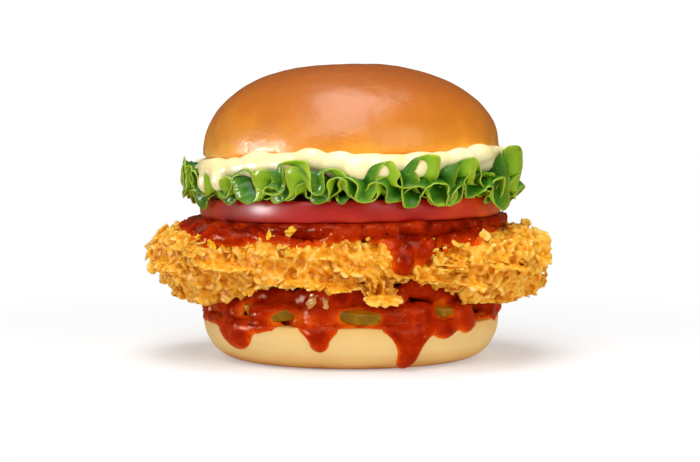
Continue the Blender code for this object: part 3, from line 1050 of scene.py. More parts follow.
@dataclass(frozen=True)
class ChilliSauce(Finish):
    """Sticky hot sauce: dark brick red where it is thick, orange where it thins out, with chilli flecks, very wet."""

    name: str = "sticky_chilli_sauce"
    # from thin to deep
    shades: tuple[str, ...] = ("e66004", "d24002", "b02600", "861200", "580600")
    roughness: float = 0.11
    subsurface: float = 0.08
    depth: float = 1.2 * MM
    tint: tuple[float, float, float] = (1.0, 0.16, 0.02)
    ior: float = 1.31

    def build(self) -> bpy.types.Material:
        """Colours the sauce by its depth. Returns the material."""
        material, tree, shader = self.start()
        shader.inputs["Specular Tint"].default_value = (1.0, 0.62, 0.36, 1.0)
        cloud = maths(tree, "SUBTRACT", Pattern(5 * MM, 4).build(tree), 0.5)
        value = maths(tree, "MULTIPLY_ADD", cloud, 1.3, read(tree, "thick"))
        red = ramp(tree, value, list(zip((0.0, 0.2, 0.45, 0.75, 1.0), self.shades)))
        chilli = Pattern(0.9 * MM, 1).build(tree)
        colour = mixed(tree, span(tree, chilli, 0.67, 0.74, 0.0, 0.6), red, "6a1402")
        seed = Pattern(1.1 * MM, 0, 0.5, (1.0, 1.3, 0.8)).build(tree)
        colour = mixed(tree, span(tree, seed, 0.78, 0.84, 0.0, 0.45), colour, "e2761c")
        tree.links.new(colour, shader.inputs["Base Color"])
        bump(tree, shader, Pattern(2.0 * MM, 4, 0.6).build(tree), 0.4 * MM, 0.8)
        return material


@dataclass(frozen=True)
class Drip:
    """A run of sauce: its direction in degrees, the height of its tip, and its half width at its top and its tip."""

    angle: float
    tip: float
    top_half: float
    tip_half: float
    # above 1 it narrows soon below its top
    flare: float = 1.25

    def depth(self, angle: np.ndarray, height: np.ndarray, radius: float, start: float) -> np.ndarray:
        """How far inside the run each place on a skin is.

        Args:
            angle: directions of the places, in radians.
            height: their heights.
            radius: distance of the skin from the axis.
            start: height that the run starts at.

        Returns:
            Distance to the run's edge, above 0 inside it.
        """
        centre = self.tip + self.tip_half
        share = np.clip((height - centre) / (start - centre), 0, 1)
        half = self.tip_half + (self.top_half - self.tip_half) * share**self.flare
        side = radius * away_from(angle, self.angle)
        return half - np.hypot(side, np.minimum(height - centre, 0))

    def bulb(self, angle: np.ndarray, height: np.ndarray, radius: float) -> np.ndarray:
        """How near each place is to the swollen tip, 1 at its middle."""
        side = radius * away_from(angle, self.angle)
        return np.exp(-(side**2 + (height - self.tip - self.tip_half) ** 2) / (1.1 * self.tip_half) ** 2)


@dataclass(frozen=True)
class Coat:
    """A sauce lying on a skin: how far down it reaches in each direction, its runs, and how thick it is."""

    # (direction in degrees, height of the lower edge, greatest distance from the axis)
    edge: tuple[tuple[float, float, float], ...]
    drips: tuple[Drip, ...]
    radius: float
    thickness: float
    meniscus: float
    uneven: float
    # (direction in degrees, height, half width, half height) of places that stay bare
    bare: tuple[tuple[float, float, float, float], ...] = ()
    seed: int = 21
    # rounds of smoothing where the sauce is deep
    level: int = 8
    # how much thicker the tips of the runs are
    swell: float = 0.5
    dive: float = 1.6 * MM
    inner: float = 39 * MM

    def spread(self, name: str, skin: bpy.types.Object) -> bpy.types.Object:
        """Turns a skin into the sauce that lies on it.

        Args:
            name: the sauce's name.
            skin: the surface, which is used up.

        Returns:
            A closed piece, with its depth noted as "thick".
        """
        points, outward = points_of(skin), normals_of(skin)
        inside = self._inside(points)
        rise = self.thickness * (1 - np.exp(-np.maximum(inside, 0) / self.meniscus)) - np.maximum(-inside, 0)
        rise += 0.25 * self.thickness * Noise(self.seed + 1).at(points, 6 * MM) * smooth_step(0, 2 * MM, inside)
        thick = np.clip(rise / (1.5 * self.thickness), 0, 1)
        angle = np.arctan2(points[:, 1], points[:, 0])
        for drip in self.drips:
            swell = drip.bulb(angle, points[:, 2], self.radius) * smooth_step(0, 1.2 * MM, inside)
            rise += self.swell * self.thickness * swell
        place_points(skin, points + outward * rise[:, None])
        group = skin.vertex_groups.new(name="deep")
        group.add(np.flatnonzero(inside > 0.5 * MM).tolist(), 1.0, "REPLACE")
        modify(skin, "SMOOTH", factor=0.5, iterations=self.level, vertex_group="deep")
        skin.vertex_groups.clear()
        radius = np.hypot(points[:, 0], points[:, 1])
        keep = (rise > -self.dive) & (radius > self.inner)
        note(skin, "thick", thick)
        drop_points(skin, ~keep)
        modify(skin, "SOLIDIFY", thickness=self.dive, offset=-1, use_rim=True)
        skin.name = name
        skin.data.shade_smooth()
        return skin

    def _inside(self, points: np.ndarray) -> np.ndarray:
        """Distance of each place to the sauce's edge, above 0 inside it."""
        angle = np.arctan2(points[:, 1], points[:, 0])
        radius = np.hypot(points[:, 0], points[:, 1])
        turn, level, reach = np.array(self.edge).T
        lower = np.interp(np.degrees(angle), turn, level, period=360)
        outer = np.interp(np.degrees(angle), turn, reach, period=360)
        noise = Noise(self.seed)
        ragged = self.uneven * (noise.at(points, 5 * MM) + 0.5 * noise.at(points, 2.4 * MM))
        best = np.minimum(points[:, 2] - lower, outer - radius) + ragged
        soft = 0.7 * MM
        total = np.exp(np.clip(best / soft, -40, 40))
        for drip in self.drips:
            depth = drip.depth(angle, points[:, 2], self.radius, float(np.interp(drip.angle, turn, level, period=360)))
            total += np.exp(np.clip((depth + 0.2 * ragged) / soft, -40, 40))
        best = soft * np.log(total)
        for direction, height, wide, size in self.bare:
            away = np.hypot(self.radius * away_from(angle, direction) * size / wide, points[:, 2] - height)
            away = np.hypot(away, np.maximum(self.radius - 3 * MM - radius, 0))
            away += 3 * np.maximum(height - 0.8 * size - points[:, 2], 0)
            best = np.minimum(best, away - size + 0.4 * ragged)
        return best


@dataclass
class UpperSauce:
    """Sauce spread on the fillet under the tomato; it finds its way between the crust's lumps and runs down once."""

    voxel: float = 0.75 * MM
    filler_count: int = 64
    coat: Coat = Coat(
        edge=(
            (-165, 41.8 * MM, 57 * MM),
            (-150, 38.4 * MM, 58 * MM),
            (-132, 38.8 * MM, 61 * MM),
            (-119, 40.6 * MM, 66 * MM),
            (-109, 38.8 * MM, 66 * MM),
            (-100, 40.2 * MM, 66 * MM),
            (-90, 41.6 * MM, 66 * MM),
            (-81, 40.8 * MM, 66 * MM),
            (-57, 39.2 * MM, 66 * MM),
            (-44, 39.4 * MM, 58 * MM),
            (-34, 42.5 * MM, 54.5 * MM),
            (-10, 43.5 * MM, 52 * MM),
            (30, 41.0 * MM, 54 * MM),
            (60, 38.5 * MM, 66 * MM),
            (90, 40.5 * MM, 66 * MM),
            (120, 38.5 * MM, 66 * MM),
            (150, 41.5 * MM, 60 * MM),
        ),
        drips=(
            Drip(-72.5, 30.4 * MM, 5.5 * MM, 3.6 * MM),
            Drip(-66.0, 33.5 * MM, 6.0 * MM, 3.8 * MM),
                Drip(95, 32.0 * MM, 5.5 * MM, 3.0 * MM),
            Drip(42, 34.5 * MM, 5.0 * MM, 2.6 * MM),
        ),
        radius=56 * MM,
        thickness=2.2 * MM,
        meniscus=0.9 * MM,
        uneven=0.8 * MM,
    )

    def build(self, crust: bpy.types.Object, finish: bpy.types.Material) -> bpy.types.Object:
        """Spreads the sauce on a softened copy of the crust. Returns the piece."""
        draw = np.random.default_rng(self.coat.seed)
        count = self.filler_count
        turns = np.linspace(-180, 180, count, endpoint=False)
        low, high = (0, 46.2 * MM, 44.3 * MM), (3, 48.6 * MM, 45.2 * MM)
        spots = draw.uniform(low, high, (count, 3)) + np.stack([turns, 0 * turns, 0 * turns], -1)
        spots[:, 2] += math.tan(math.radians(0.9)) * spots[:, 1] * np.cos(np.radians(turns))
        halves = draw.uniform((3.5 * MM, 2.4 * MM, 1.3 * MM), (5.5 * MM, 3.4 * MM, 2.0 * MM), (count, 3))
        under = twin_of(crust)
        under.data.attributes.remove(under.data.attributes["proud"])
        skin = melted("sauce_upper_glaze", [under], [Ball(2).lumps(spots, halves)], self.voxel, 10)
        sauce = self.coat.spread("sauce_upper_glaze", skin)
        points = points_of(sauce)
        ceiling = 46.5 * MM + 4 * MM * smooth_step(50.5 * MM, 55 * MM, np.hypot(points[:, 0], points[:, 1]))
        points[:, 2] = np.minimum(points[:, 2], ceiling + math.tan(math.radians(0.9)) * points[:, 0])
        place_points(sauce, points)
        return dress(sauce, finish, "sauce", "sauce_upper")


@dataclass
class LowerSauce:
    """Sauce on the heel round the gherkins, which bulges over the bread's rim and runs down its side."""

    voxel: float = 0.7 * MM
    lump_count: int = 130
    # (direction in degrees, spread in degrees, rise) of places where the sauce fills the gap under the crust
    arches: tuple[tuple[float, float, float], ...] = ((-62, 17, 3.6 * MM), (-95, 12, 2.6 * MM), (-35, 10, 1.5 * MM))
    coat: Coat = Coat(
        edge=(
            (-170, 12.6 * MM, 60 * MM),
            (-152, 12.2 * MM, 60 * MM),
            (-145, 11.8 * MM, 60 * MM),
            (-136, 11.2 * MM, 60 * MM),
            (-120, 12.0 * MM, 60 * MM),
            (-113, 14.8 * MM, 60 * MM),
            (-109, 13.8 * MM, 60 * MM),
            (-95, 14.0 * MM, 60 * MM),
            (-87, 15.4 * MM, 60 * MM),
            (-81, 13.6 * MM, 60 * MM),
            (-60, 12.4 * MM, 60 * MM),
            (-50, 12.6 * MM, 60 * MM),
            (-36, 12.8 * MM, 60 * MM),
            (-28, 15.0 * MM, 60 * MM),
            (-18, 12.6 * MM, 60 * MM),
            (0, 14.2 * MM, 60 * MM),
            (25, 12.0 * MM, 60 * MM),
            (60, 13.0 * MM, 60 * MM),
            (97, 12.0 * MM, 60 * MM),
            (130, 12.0 * MM, 60 * MM),
            (165, 12.0 * MM, 60 * MM),
        ),
        drips=(
            Drip(-138.6, 9.8 * MM, 9.0 * MM, 4.6 * MM, 1.0),
            Drip(-101.8, 6.2 * MM, 7.4 * MM, 3.3 * MM),
            Drip(-67.4, 0.3 * MM, 9.4 * MM, 3.9 * MM, 2.2),
            Drip(-53, 12.2 * MM, 7.0 * MM, 4.5 * MM),
            Drip(-41, 12.2 * MM, 5.0 * MM, 3.6 * MM),
            Drip(25, 8.6 * MM, 4.0 * MM, 2.6 * MM),
            Drip(97, 5.0 * MM, 5.0 * MM, 2.9 * MM),
            Drip(133, 9.4 * MM, 4.0 * MM, 2.6 * MM),
            Drip(165, 8.0 * MM, 3.5 * MM, 2.2 * MM),
        ),
        radius=50 * MM,
        thickness=1.35 * MM,
        meniscus=0.9 * MM,
        uneven=0.5 * MM,
        bare=(
            (-159, 17.9 * MM, 2.4 * MM, 2.4 * MM),
            (-135, 17.8 * MM, 3.2 * MM, 2.8 * MM),
            (-115, 16.0 * MM, 5.2 * MM, 2.4 * MM),
            (-87, 16.8 * MM, 6.8 * MM, 2.8 * MM),
            (-52, 18.6 * MM, 3.4 * MM, 3.2 * MM),
            (-26, 17.0 * MM, 4.2 * MM, 2.8 * MM),
        ),
        seed=31,
        level=14,
    )

    def build(self, heel: bpy.types.Object, discs: list[bpy.types.Object], finish: bpy.types.Material) -> bpy.types.Object:
        """Melts heel, gherkins and lumps into the skin that the sauce lies on, and spreads it. Returns the piece."""
        draw = np.random.default_rng(self.coat.seed)
        count = self.lump_count
        spots = np.stack(
            [
                np.linspace(-180, 180, count, endpoint=False) + draw.uniform(-1.5, 1.5, count),
                draw.uniform(42 * MM, 46.5 * MM, count),
                draw.uniform(15.0 * MM, 20.5 * MM, count),
            ],
            -1,
        )
        halves = draw.uniform((2.6 * MM, 1.8 * MM, 1.4 * MM), (6.5 * MM, 3.8 * MM, 2.8 * MM), (count, 3))
        bare = np.array(self.coat.bare)
        side = self.coat.radius * away_from(np.radians(spots[:, :1]), bare[:, 0])
        clear = (np.hypot(side * bare[:, 3] / bare[:, 2], spots[:, 2:] - bare[:, 1]) > bare[:, 3] + 2.6 * MM).all(axis=1)
        back = np.stack([spots[:, 0], np.full(count, 40.5 * MM), draw.uniform(19.5 * MM, 23 * MM, count)], -1)
        for direction, spread, rise in self.arches:
            near = np.exp(-((np.degrees(away_from(np.radians(back[:, 0]), direction)) / spread) ** 2))
            back[:, 1] += 4.5 * MM * near
            back[:, 2] += rise * near
        under = np.stack([spots[:, 0], np.full(count, 45.4 * MM), np.full(count, 14.2 * MM)], -1)
        feed = np.array([(drip.angle, 44.8 * MM, 16.6 * MM) for drip in self.coat.drips])
        fed = np.array([(1.1 * drip.top_half, 3.2 * MM, 3.6 * MM) for drip in self.coat.drips])
        spots = np.vstack([spots[clear], back, under, feed])
        flat = np.full((count, 3), (3.4 * MM, 2.2 * MM, 1.4 * MM))
        halves = np.vstack([halves[clear], 0.9 * halves, flat, fed])
        lumps = Ball(2).lumps(spots, halves)
        twins = [twin_of(piece) for piece in (heel, *discs)]
        skin = melted("sauce_lower_glaze", twins, [lumps], self.voxel, 14)
        sauce = self.coat.spread("sauce_lower_glaze", skin)
        points = points_of(sauce)
        points[:, 2] = np.maximum(points[:, 2], 0.15 * MM)
        place_points(sauce, points)
        return dress(sauce, finish, "sauce", "sauce_lower")


@dataclass(frozen=True)
class SoftOnion(Finish):
    """Cooked onion: pale, wet and half-clear, with fine lines."""

    name: str = "soft_onion"
    roughness: float = 0.25
    subsurface: float = 0.7
    depth: float = 2 * MM
    tint: tuple[float, float, float] = (1.0, 0.7, 0.4)
    coat: float = 0.15

    def build(self) -> bpy.types.Material:
        """Lines the pale flesh. Returns the material."""
        material, tree, shader = self.start()
        line = Pattern(0.9 * MM, 2, 0.5, (0.6, 0.6, 3.0)).build(tree)
        tree.links.new(ramp(tree, line, [(0.3, "c8883c"), (0.5, "d29c54"), (0.75, "dcb070")]), shader.inputs["Base Color"])
        return material


@dataclass
class StrayBits:
    """Small loose bits lying on a sauce: each at a direction and a height, on what is met there from outside."""

    name: str
    slot: str
    # (direction in degrees, height, width)
    places: tuple[tuple[float, float, float], ...]
    thickness: float
    curl: float
    rough: float
    ragged: float
    seed: int

    def build(self, ground: Sequence[bpy.types.Object], finish: bpy.types.Material) -> bpy.types.Object:
        """Drops every bit on the ground pieces.

        Args:
            ground: pieces that the bits lie on.
            finish: their material.

        Returns:
            The bits as one piece.
        """
        trees = [
            BVHTree.FromPolygons([v.co for v in piece.data.vertices], [f.vertices for f in piece.data.polygons])
            for piece in ground
        ]
        parts = []
        for number, (direction, height, width) in enumerate(self.places):
            out = Vector((math.cos(math.radians(direction)), math.sin(math.radians(direction)), 0))
            start = out * 0.1 + Vector((0, 0, height))
            hits = [tree.ray_cast(start, -out) for tree in trees]
            spot, normal, _, _ = min((hit for hit in hits if hit[0]), key=lambda hit: hit[3])
            flake = Flakes(1, (width, width), self.thickness, (5, 25), -0.2 * MM, self.curl, self.rough, self.ragged)
            parts.append(flake.place(self.seed + number, np.array([spot]), np.array([normal]), Ball(4)))
        piece = joined(self.name, parts)
        note(piece, "proud", np.full(len(piece.data.vertices), 0.75))
        return dress(piece, finish, self.slot)


# ---------------------------------------------------------------- gherkins


@dataclass(frozen=True)
class PickledGherkin(Finish):
    """Pickled cucumber: olive skin round wet, half-clear yellow-green flesh with paler seeds."""

    name: str = "pickled_gherkin"
    roughness: float = 0.22
    subsurface: float = 0.35
    depth: float = 2.2 * MM
    tint: tuple[float, float, float] = (0.95, 0.65, 0.08)
    coat: float = 0.15
    ior: float = 1.33

    def build(self) -> bpy.types.Material:
        """Colours skin, flesh and seeds by the distance from the slice's middle. Returns the material."""
        material, tree, shader = self.start()
        ring = read(tree, "ring")
        cloud = maths(tree, "SUBTRACT", Pattern(3 * MM, 3).build(tree), 0.5)
        value = maths(tree, "MULTIPLY_ADD", cloud, 0.25, ring)
        flesh = ramp(
            tree,
            value,
            [(0.0, "dc9c08"), (0.35, "e4ac12"), (0.55, "c88404"), (0.8, "d89808"), (0.93, "b07a04"), (1.0, "886204")],
        )
        colour = mixed(tree, span(tree, Pattern(1.6 * MM, 2).build(tree), 0.6, 0.75, 0.0, 0.5), flesh, "dcc22a")
        tree.links.new(colour, shader.inputs["Base Color"])
        bump(tree, shader, Pattern(2.2 * MM, 3).build(tree), 0.3 * MM, 0.6)
        return material


@dataclass
class Gherkins:
    """Seven wavy slices that lean out over the edge of the heel."""

    count: int = 7
    segments: int = 56
    edge: float = 0.7 * MM
    lean: float = 16.0
    seed: int = 51

    def build(self) -> list[bpy.types.Object]:
        """Cuts every slice at its packed place. Returns the pieces."""
        finish = PickledGherkin().build()
        pieces = []
        for number in range(1, self.count + 1):
            pieces.append(self._slice(number))
            dress(pieces[-1], finish, "gherkin", f"gherkin_{number}")
        return pieces

    def _slice(self, number: int) -> bpy.types.Object:
        """One slice: a disc with soft edges, warped, leaned outwards and moved to its place."""
        low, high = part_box(f"gherkin_{number}")
        middle = (low + high) / 2
        radius = (high.x - low.x + high.y - low.y) / 4 - 0.15 * MM
        half = 1.8 * MM
        rim = arc((radius - self.edge, 0), (self.edge, half), -85, 85, 8)
        rings = [(radius * share, half * 0.99) for share in (0.86, 0.7, 0.5, 0.3, 0.12)]
        profile = [(r, -z) for r, z in reversed(rings)] + rim + rings
        piece = turned(f"gherkin_slice_{number}", profile, self.segments)
        points = points_of(piece)
        ring = np.hypot(points[:, 0], points[:, 1]) / radius
        angle = np.arctan2(points[:, 1], points[:, 0])
        phase = number * 1.7
        points[:, :2] *= (1 + 0.03 * np.sin(3 * angle + phase) + 0.015 * np.sin(7 * angle - phase))[:, None]
        points[:, 2] += ring**2 * 0.5 * MM * np.sin(2 * angle + phase)
        points += 0.18 * MM * Noise(self.seed + number).at(points, 3 * MM)[:, None] * normals_of(piece)
        lean = math.radians(self.lean)
        turn = math.atan2(middle.y, middle.x)
        out = points[:, 0] * math.cos(lean) + points[:, 2] * math.sin(lean)
        up = points[:, 2] * math.cos(lean) - points[:, 0] * math.sin(lean)
        side = points[:, 1]
        points = np.stack(
            [
                middle.x + out * math.cos(turn) - side * math.sin(turn),
                middle.y + out * math.sin(turn) + side * math.cos(turn),
                middle.z + up,
            ],
            -1,
        )
        place_points(piece, points)
        note(piece, "ring", ring)
        return piece


# ---------------------------------------------------------------- mayonnaise


@dataclass(frozen=True)
class Mayonnaise(Finish):
    """Thick mayonnaise: cream white, soft satin shine, light goes into it a little."""

    name: str = "thick_mayonnaise"
    roughness: float = 0.3
    subsurface: float = 0.5
    depth: float = 2.5 * MM
    tint: tuple[float, float, float] = (1.0, 0.75, 0.45)
    coat: float = 0.2
    coat_roughness: float = 0.15

    def build(self) -> bpy.types.Material:
        """Clouds the cream very slightly. Returns the material."""
        material, tree, shader = self.start()
        cloud = Pattern(8 * MM, 3).build(tree)
        cream = ramp(tree, cloud, [(0.3, "fee2a0"), (0.55, "ffecb6"), (0.8, "fff3ca")])
        tree.links.new(cream, shader.inputs["Base Color"])
        bump(tree, shader, Pattern(5 * MM, 2).build(tree), 0.3 * MM, 0.4)
        return material


@dataclass
class MayonnaiseRing:
    """Mayonnaise squeezed out all round under the crown, heaped here and running down there."""

    voxel: float = 0.62 * MM
    count: int = 110
    tilt: float = 1.4
    seed: int = 61
    # (direction in degrees, height of the lump's top, height of its bottom, its width, how far it stands out)
    heaps: tuple[tuple[float, float, float, float, float], ...] = (
        (-160, 66.5, 61.5, 12, 52.0),
        (-149, 62.5, 56.2, 6, 56.4),
        (-144, 67.0, 60.4, 20, 56.0),
        (-139.5, 64.0, 57.0, 6, 57.2),
        (-133, 67.4, 60.4, 15, 55.4),
        (-123, 69.0, 61.0, 17, 55.2),
        (-113, 68.8, 61.6, 14, 55.0),
        (-104, 69.8, 63.4, 11, 54.6),
        (-94, 68.6, 61.2, 13, 55.0),
        (-88.5, 66.0, 59.6, 8, 56.5),
        (-80.5, 66.0, 60.0, 8, 56.5),
        (-84, 68.0, 61.5, 16, 54.5),
        (-75, 67.4, 62.0, 12, 54.5),
        (-68, 66.2, 60.2, 8, 56.5),
        (-66, 67.6, 61.8, 15, 54.5),
        (-57, 67.6, 62.5, 10, 53.5),
        (-48, 68.6, 61.0, 13, 55.0),
        (-38, 69.4, 64.0, 13, 54.4),
        (-29, 68.8, 64.0, 12, 53.4),
        (-20, 68.5, 62.0, 9, 52.6),
        (5, 68.5, 60.5, 8, 53.0),
        (28, 68.0, 61.5, 10, 53.2),
        (52, 67.5, 58.8, 7, 53.6),
        (75, 68.0, 61.0, 11, 53.4),
        (99, 67.5, 59.5, 7, 53.6),
        (124, 68.0, 61.0, 10, 53.4),
        (150, 66.8, 60.0, 8, 53.0),
        (178, 66.5, 61.0, 9, 52.6),
    )

    def build(self) -> bpy.types.Object:
        """Melts the ring and its heaps. Returns the piece."""
        draw = np.random.default_rng(self.seed)
        turns = np.linspace(-180, 180, self.count, endpoint=False)
        ring = np.stack([turns, np.full(self.count, 47.5 * MM), 62.8 * MM + draw.uniform(-0.6, 0.6, self.count) * MM], -1)
        ring_halves = draw.uniform((4.4 * MM, 4.0 * MM, 2.9 * MM), (6.4 * MM, 5.0 * MM, 3.4 * MM), (self.count, 3))
        heaps = np.array(self.heaps)
        top, bottom, width, out = (heaps[:, i] * MM for i in range(1, 5))
        deep = 3.4 * MM
        spots = np.stack([heaps[:, 0], out - deep, (top + bottom) / 2], -1)
        halves = np.stack([width / 2, np.full(len(heaps), deep), (top - bottom) / 2], -1)
        ball = Ball(3)
        piece = melted("mayonnaise_ring", [], [ball.lumps(ring, ring_halves), ball.lumps(spots, halves)], self.voxel, 24)
        points = points_of(piece)
        noise = Noise(self.seed)
        points += normals_of(piece) * (0.35 * MM * noise.at(points, 6 * MM) + 0.5 * MM)[:, None]
        points[:, 2] += math.tan(math.radians(self.tilt)) * points[:, 0]
        place_points(piece, points)
        return dress(piece, Mayonnaise().build(), "mayonnaise", "mayonnaise")


# ---------------------------------------------------------------- lettuce


@dataclass(frozen=True)
class LettuceLeaf(Finish):
    """Frilly lettuce: thin, waxy and half-clear, yellow-green along the margin, painted darker towards its inner edge
    and on its back as shade.
    """

    name: str = "frilly_lettuce"
    roughness: float = 0.34
    subsurface: float = 0.22
    depth: float = 0.8 * MM
    tint: tuple[float, float, float] = (0.55, 1.0, 0.1)
    coat: float = 0.2
    coat_roughness: float = 0.18
    ior: float = 1.36

    def build(self) -> bpy.types.Material:
        """Greens the leaf from its middle to its margin, with a darker, cooler back; the margin's yellow-green is
        partly its own colour and partly painted top light, the dark middle and back are painted shade. Returns the
        material.
        """
        material, tree, shader = self.start()
        cloud = maths(tree, "SUBTRACT", Pattern(7 * MM, 4).build(tree), 0.5)
        value = maths(tree, "MULTIPLY_ADD", cloud, 0.12, read(tree, "margin"))
        # the margin's own yellow-green, lifted further as painted top light; the dark inner edge is painted shade
        face = ramp(
            tree, value, [(0.0, "386404"), (0.4, "508606"), (0.72, "76aa0a"), (0.95, "96ba1c"), (1.0, "b6c83c")]
        )
        # painted shade: the back of the sheet is darker and cooler than its face
        back = ramp(
            tree, value, [(0.0, "34600e"), (0.5, "1a4c0c"), (0.85, "387412"), (0.96, "5c8e18"), (1.0, "a0ba30")]
        )
        colour = mixed(tree, read(tree, "back"), face, back)
        vein = Pattern(1.3 * MM, 3).build(tree)
        colour = mixed(tree, span(tree, vein, 0.56, 0.7, 0.0, 0.25), colour, "98c028")
        tree.links.new(colour, shader.inputs["Base Color"])
        bump(tree, shader, Pattern(2.4 * MM, 4).build(tree), 0.4 * MM, 0.7)
        return material


@dataclass(frozen=True)
class Frill:
    """One strip of leaf round the burger, ever more folded towards its margin."""

    seed: int
    inner: float
    height: float
    length: float
    # droop below level in degrees, and how much it varies
    droop: tuple[float, float]
    wave: float
    # greatest turn of the folds in degrees
    fold: float
    ragged: float = 0.16
    start: float = -180.0
    end: float = 180.0
    columns: int = 1700
    rows: int = 11

    def points(self) -> tuple[np.ndarray, np.ndarray, np.ndarray]:
        """Lays the strip out as rows of a grid, from its inner edge to its margin.

        Returns:
            The places as a grid of rows, and the same grid's share of the way to the margin.
        """
        noise = Noise(self.seed)
        turn = np.linspace(math.radians(self.start), math.radians(self.end), self.columns)
        circle = np.stack([np.cos(turn), np.sin(turn), np.zeros(self.columns)], -1)
        radius = self.inner + 0.7 * self.length
        spread = 1 + 0.45 * noise.at(circle * radius, 21 * MM)
        step = turn[1] - turn[0]
        phase = np.cumsum(step * radius / (self.wave * spread)) * TAU
        fold = math.radians(self.fold) * (1 + 0.3 * noise.at(circle * radius + 1, 17 * MM))
        fine = math.radians(55) * noise.at(circle * radius + 3, 1.5 * MM)
        droop = np.radians(self.droop[0] + self.droop[1] * noise.at(circle * radius + 2, 16 * MM))
        reach = self.length * (1 + self.ragged * noise.at(circle * radius + 4, 8 * MM))
        grid, shares = [], []
        for row in range(self.rows):
            share = row / (self.rows - 1)
            bend = fold * share**0.8
            heading = bend * np.sin(phase) + fine * share**2
            slow = 1 - 0.25 * bend**2 + bend**4 / 64 - bend**6 / 2304
            pace = radius * step / np.maximum(slow, 0.2)
            along = np.cumsum(pace * np.cos(heading))
            along -= np.linspace(0, along[-1] - radius * (turn[-1] - turn[0]), self.columns)
            across = np.cumsum(pace * np.sin(heading))
            across -= self._drift(across)
            tooth = 0.0
            if row == self.rows - 1:
                tooth = 0.6 * MM * noise.at(circle * 1000 * radius * 2.5, 1.6)
            out = reach * share + tooth
            down = -droop * (0.35 + 0.65 * share)
            turned_by = turn[0] + along / radius
            distance = self.inner + out * np.cos(down) - across * np.sin(down) * 0.8
            rise = self.height + out * np.sin(down) + across * np.cos(down)
            grid.append(np.stack([distance * np.cos(turned_by), distance * np.sin(turned_by), rise], -1))
            shares.append(np.full(self.columns, share))
        return np.array(grid), np.array(shares)

    @staticmethod
    def _drift(line: np.ndarray) -> np.ndarray:
        """The slow wandering of a line, its mean over a few folds."""
        window = 161
        padded = np.pad(line, window // 2, mode="edge")
        return np.convolve(padded, np.ones(window) / window, mode="valid")

    def faces(self) -> np.ndarray:
        """The grid's faces."""
        row, column = np.meshgrid(np.arange(self.rows - 1), np.arange(self.columns - 1), indexing="ij")
        first = row * self.columns + column
        return np.stack([first, first + 1, first + self.columns + 1, first + self.columns], -1).reshape(-1, 4)


@dataclass
class Lettuce:
    """Two strips of frilly leaf between the tomato and the mayonnaise."""

    thickness: float = 0.34 * MM
    tomato_top: float = 54.2 * MM
    tomato_radius: float = 51.6 * MM
    crown_bottom: float = 66.5 * MM
    mayonnaise_radius: float = 56.0 * MM
    frills: tuple[Frill, ...] = (
        Frill(71, 41 * MM, 61.6 * MM, 14.5 * MM, (4, 20), 14.0 * MM, 104, ragged=0.34),
        Frill(72, 46.0 * MM, 63.0 * MM, 11.5 * MM, (44, 18), 12.5 * MM, 84, ragged=0.3),
        Frill(73, 43 * MM, 60.6 * MM, 12.8 * MM, (14, 18), 12.0 * MM, 96, ragged=0.34),
        Frill(74, 37 * MM, 57.0 * MM, 14.4 * MM, (5, 8), 7.0 * MM, 80, columns=1100, rows=8),
    )

    def build(self) -> list[bpy.types.Object]:
        """Builds the strips, thickens them and clears them of the tomato. Returns the pieces."""
        finish = LettuceLeaf().build()
        return [self._strip(number, frill, finish) for number, frill in enumerate(self.frills, 1)]

    def _strip(self, number: int, frill: Frill, finish: bpy.types.Material) -> bpy.types.Object:
        """One strip as a closed sheet."""
        grid, shares = frill.points()
        share = shares.ravel()
        piece = mesh_piece(f"lettuce_frill_{number}", grid.reshape(-1, 3), frill.faces())
        modify(piece, "SMOOTH", factor=0.5, iterations=2)
        place_points(piece, self._cleared(points_of(piece), share))
        modify(piece, "SMOOTH", factor=0.5, iterations=1)
        modify(piece, "SOLIDIFY", thickness=self.thickness, offset=0, use_rim=True)
        only(piece)
        bpy.ops.object.mode_set(mode="EDIT")
        bpy.ops.mesh.select_all(action="SELECT")
        bpy.ops.mesh.normals_make_consistent(inside=False)
        bpy.ops.object.mode_set(mode="OBJECT")
        note(piece, "margin", np.tile(share, 2))
        note(piece, "back", (np.arange(2 * len(share)) >= len(share)).astype(float))
        piece.data.shade_smooth()
        return dress(piece, finish, "lettuce", *(["lettuce_leaf"] if number == 1 else []))

    def _cleared(self, points: np.ndarray, share: np.ndarray) -> np.ndarray:
        """Moves a sheet clear of the tomato, the mayonnaise and the crown.

        Args:
            points: places on the sheet.
            share: how far each lies on the way to the margin.

        Returns:
            The places, moved.
        """
        tilted = points[:, 2] - math.tan(math.radians(0.9)) * points[:, 0]
        beside = self.tomato_radius + 1.1 * MM - 9 * MM * smooth_step(self.tomato_top, self.tomato_top + 3 * MM, tilted)
        radius = np.hypot(points[:, 0], points[:, 1])
        out = np.where(radius > 46 * MM, 0.9 * np.maximum(beside - radius, 0), 0)
        lift = smooth_step(59 * MM, 61.5 * MM, points[:, 2]) * smooth_step(0.45, 0.75, share)
        out = np.maximum(out, 0.8 * lift * np.maximum(self.mayonnaise_radius - radius, 0))
        points[:, :2] *= (1 + out / radius)[:, None]
        under = np.maximum(self.tomato_top + 0.3 * MM - tilted, 0) * (radius + out < self.tomato_radius)
        ceiling = self.crown_bottom - 1 * MM + 0.045 * points[:, 0]
        points[:, 2] += 0.9 * under - 0.72 * np.maximum(points[:, 2] - ceiling, 0)
        return points


# ---------------------------------------------------------------- studio


@dataclass(frozen=True)
class Lamp:
    """A soft box: where it hangs, where it points, its width and length, and its power in watts."""

    name: str
    place: tuple[float, float, float]
    aim: tuple[float, float, float]
    size: tuple[float, float]
    power: float
    # False for a lamp that is only seen as a highlight
    lights: bool = True

    def build(self) -> None:
        """Hangs the lamp."""
        bpy.ops.object.light_add(type="AREA", location=self.place)
        lamp = bpy.context.object
        lamp.name = self.name
        lamp.data.shape = "RECTANGLE"
        lamp.data.size, lamp.data.size_y = self.size
        lamp.data.energy = self.power
        turn = (Vector(self.aim) - Vector(self.place)).to_track_quat("-Z", "Y")
        lamp.rotation_euler = turn.to_euler()
        lamp.visible_diffuse = self.lights


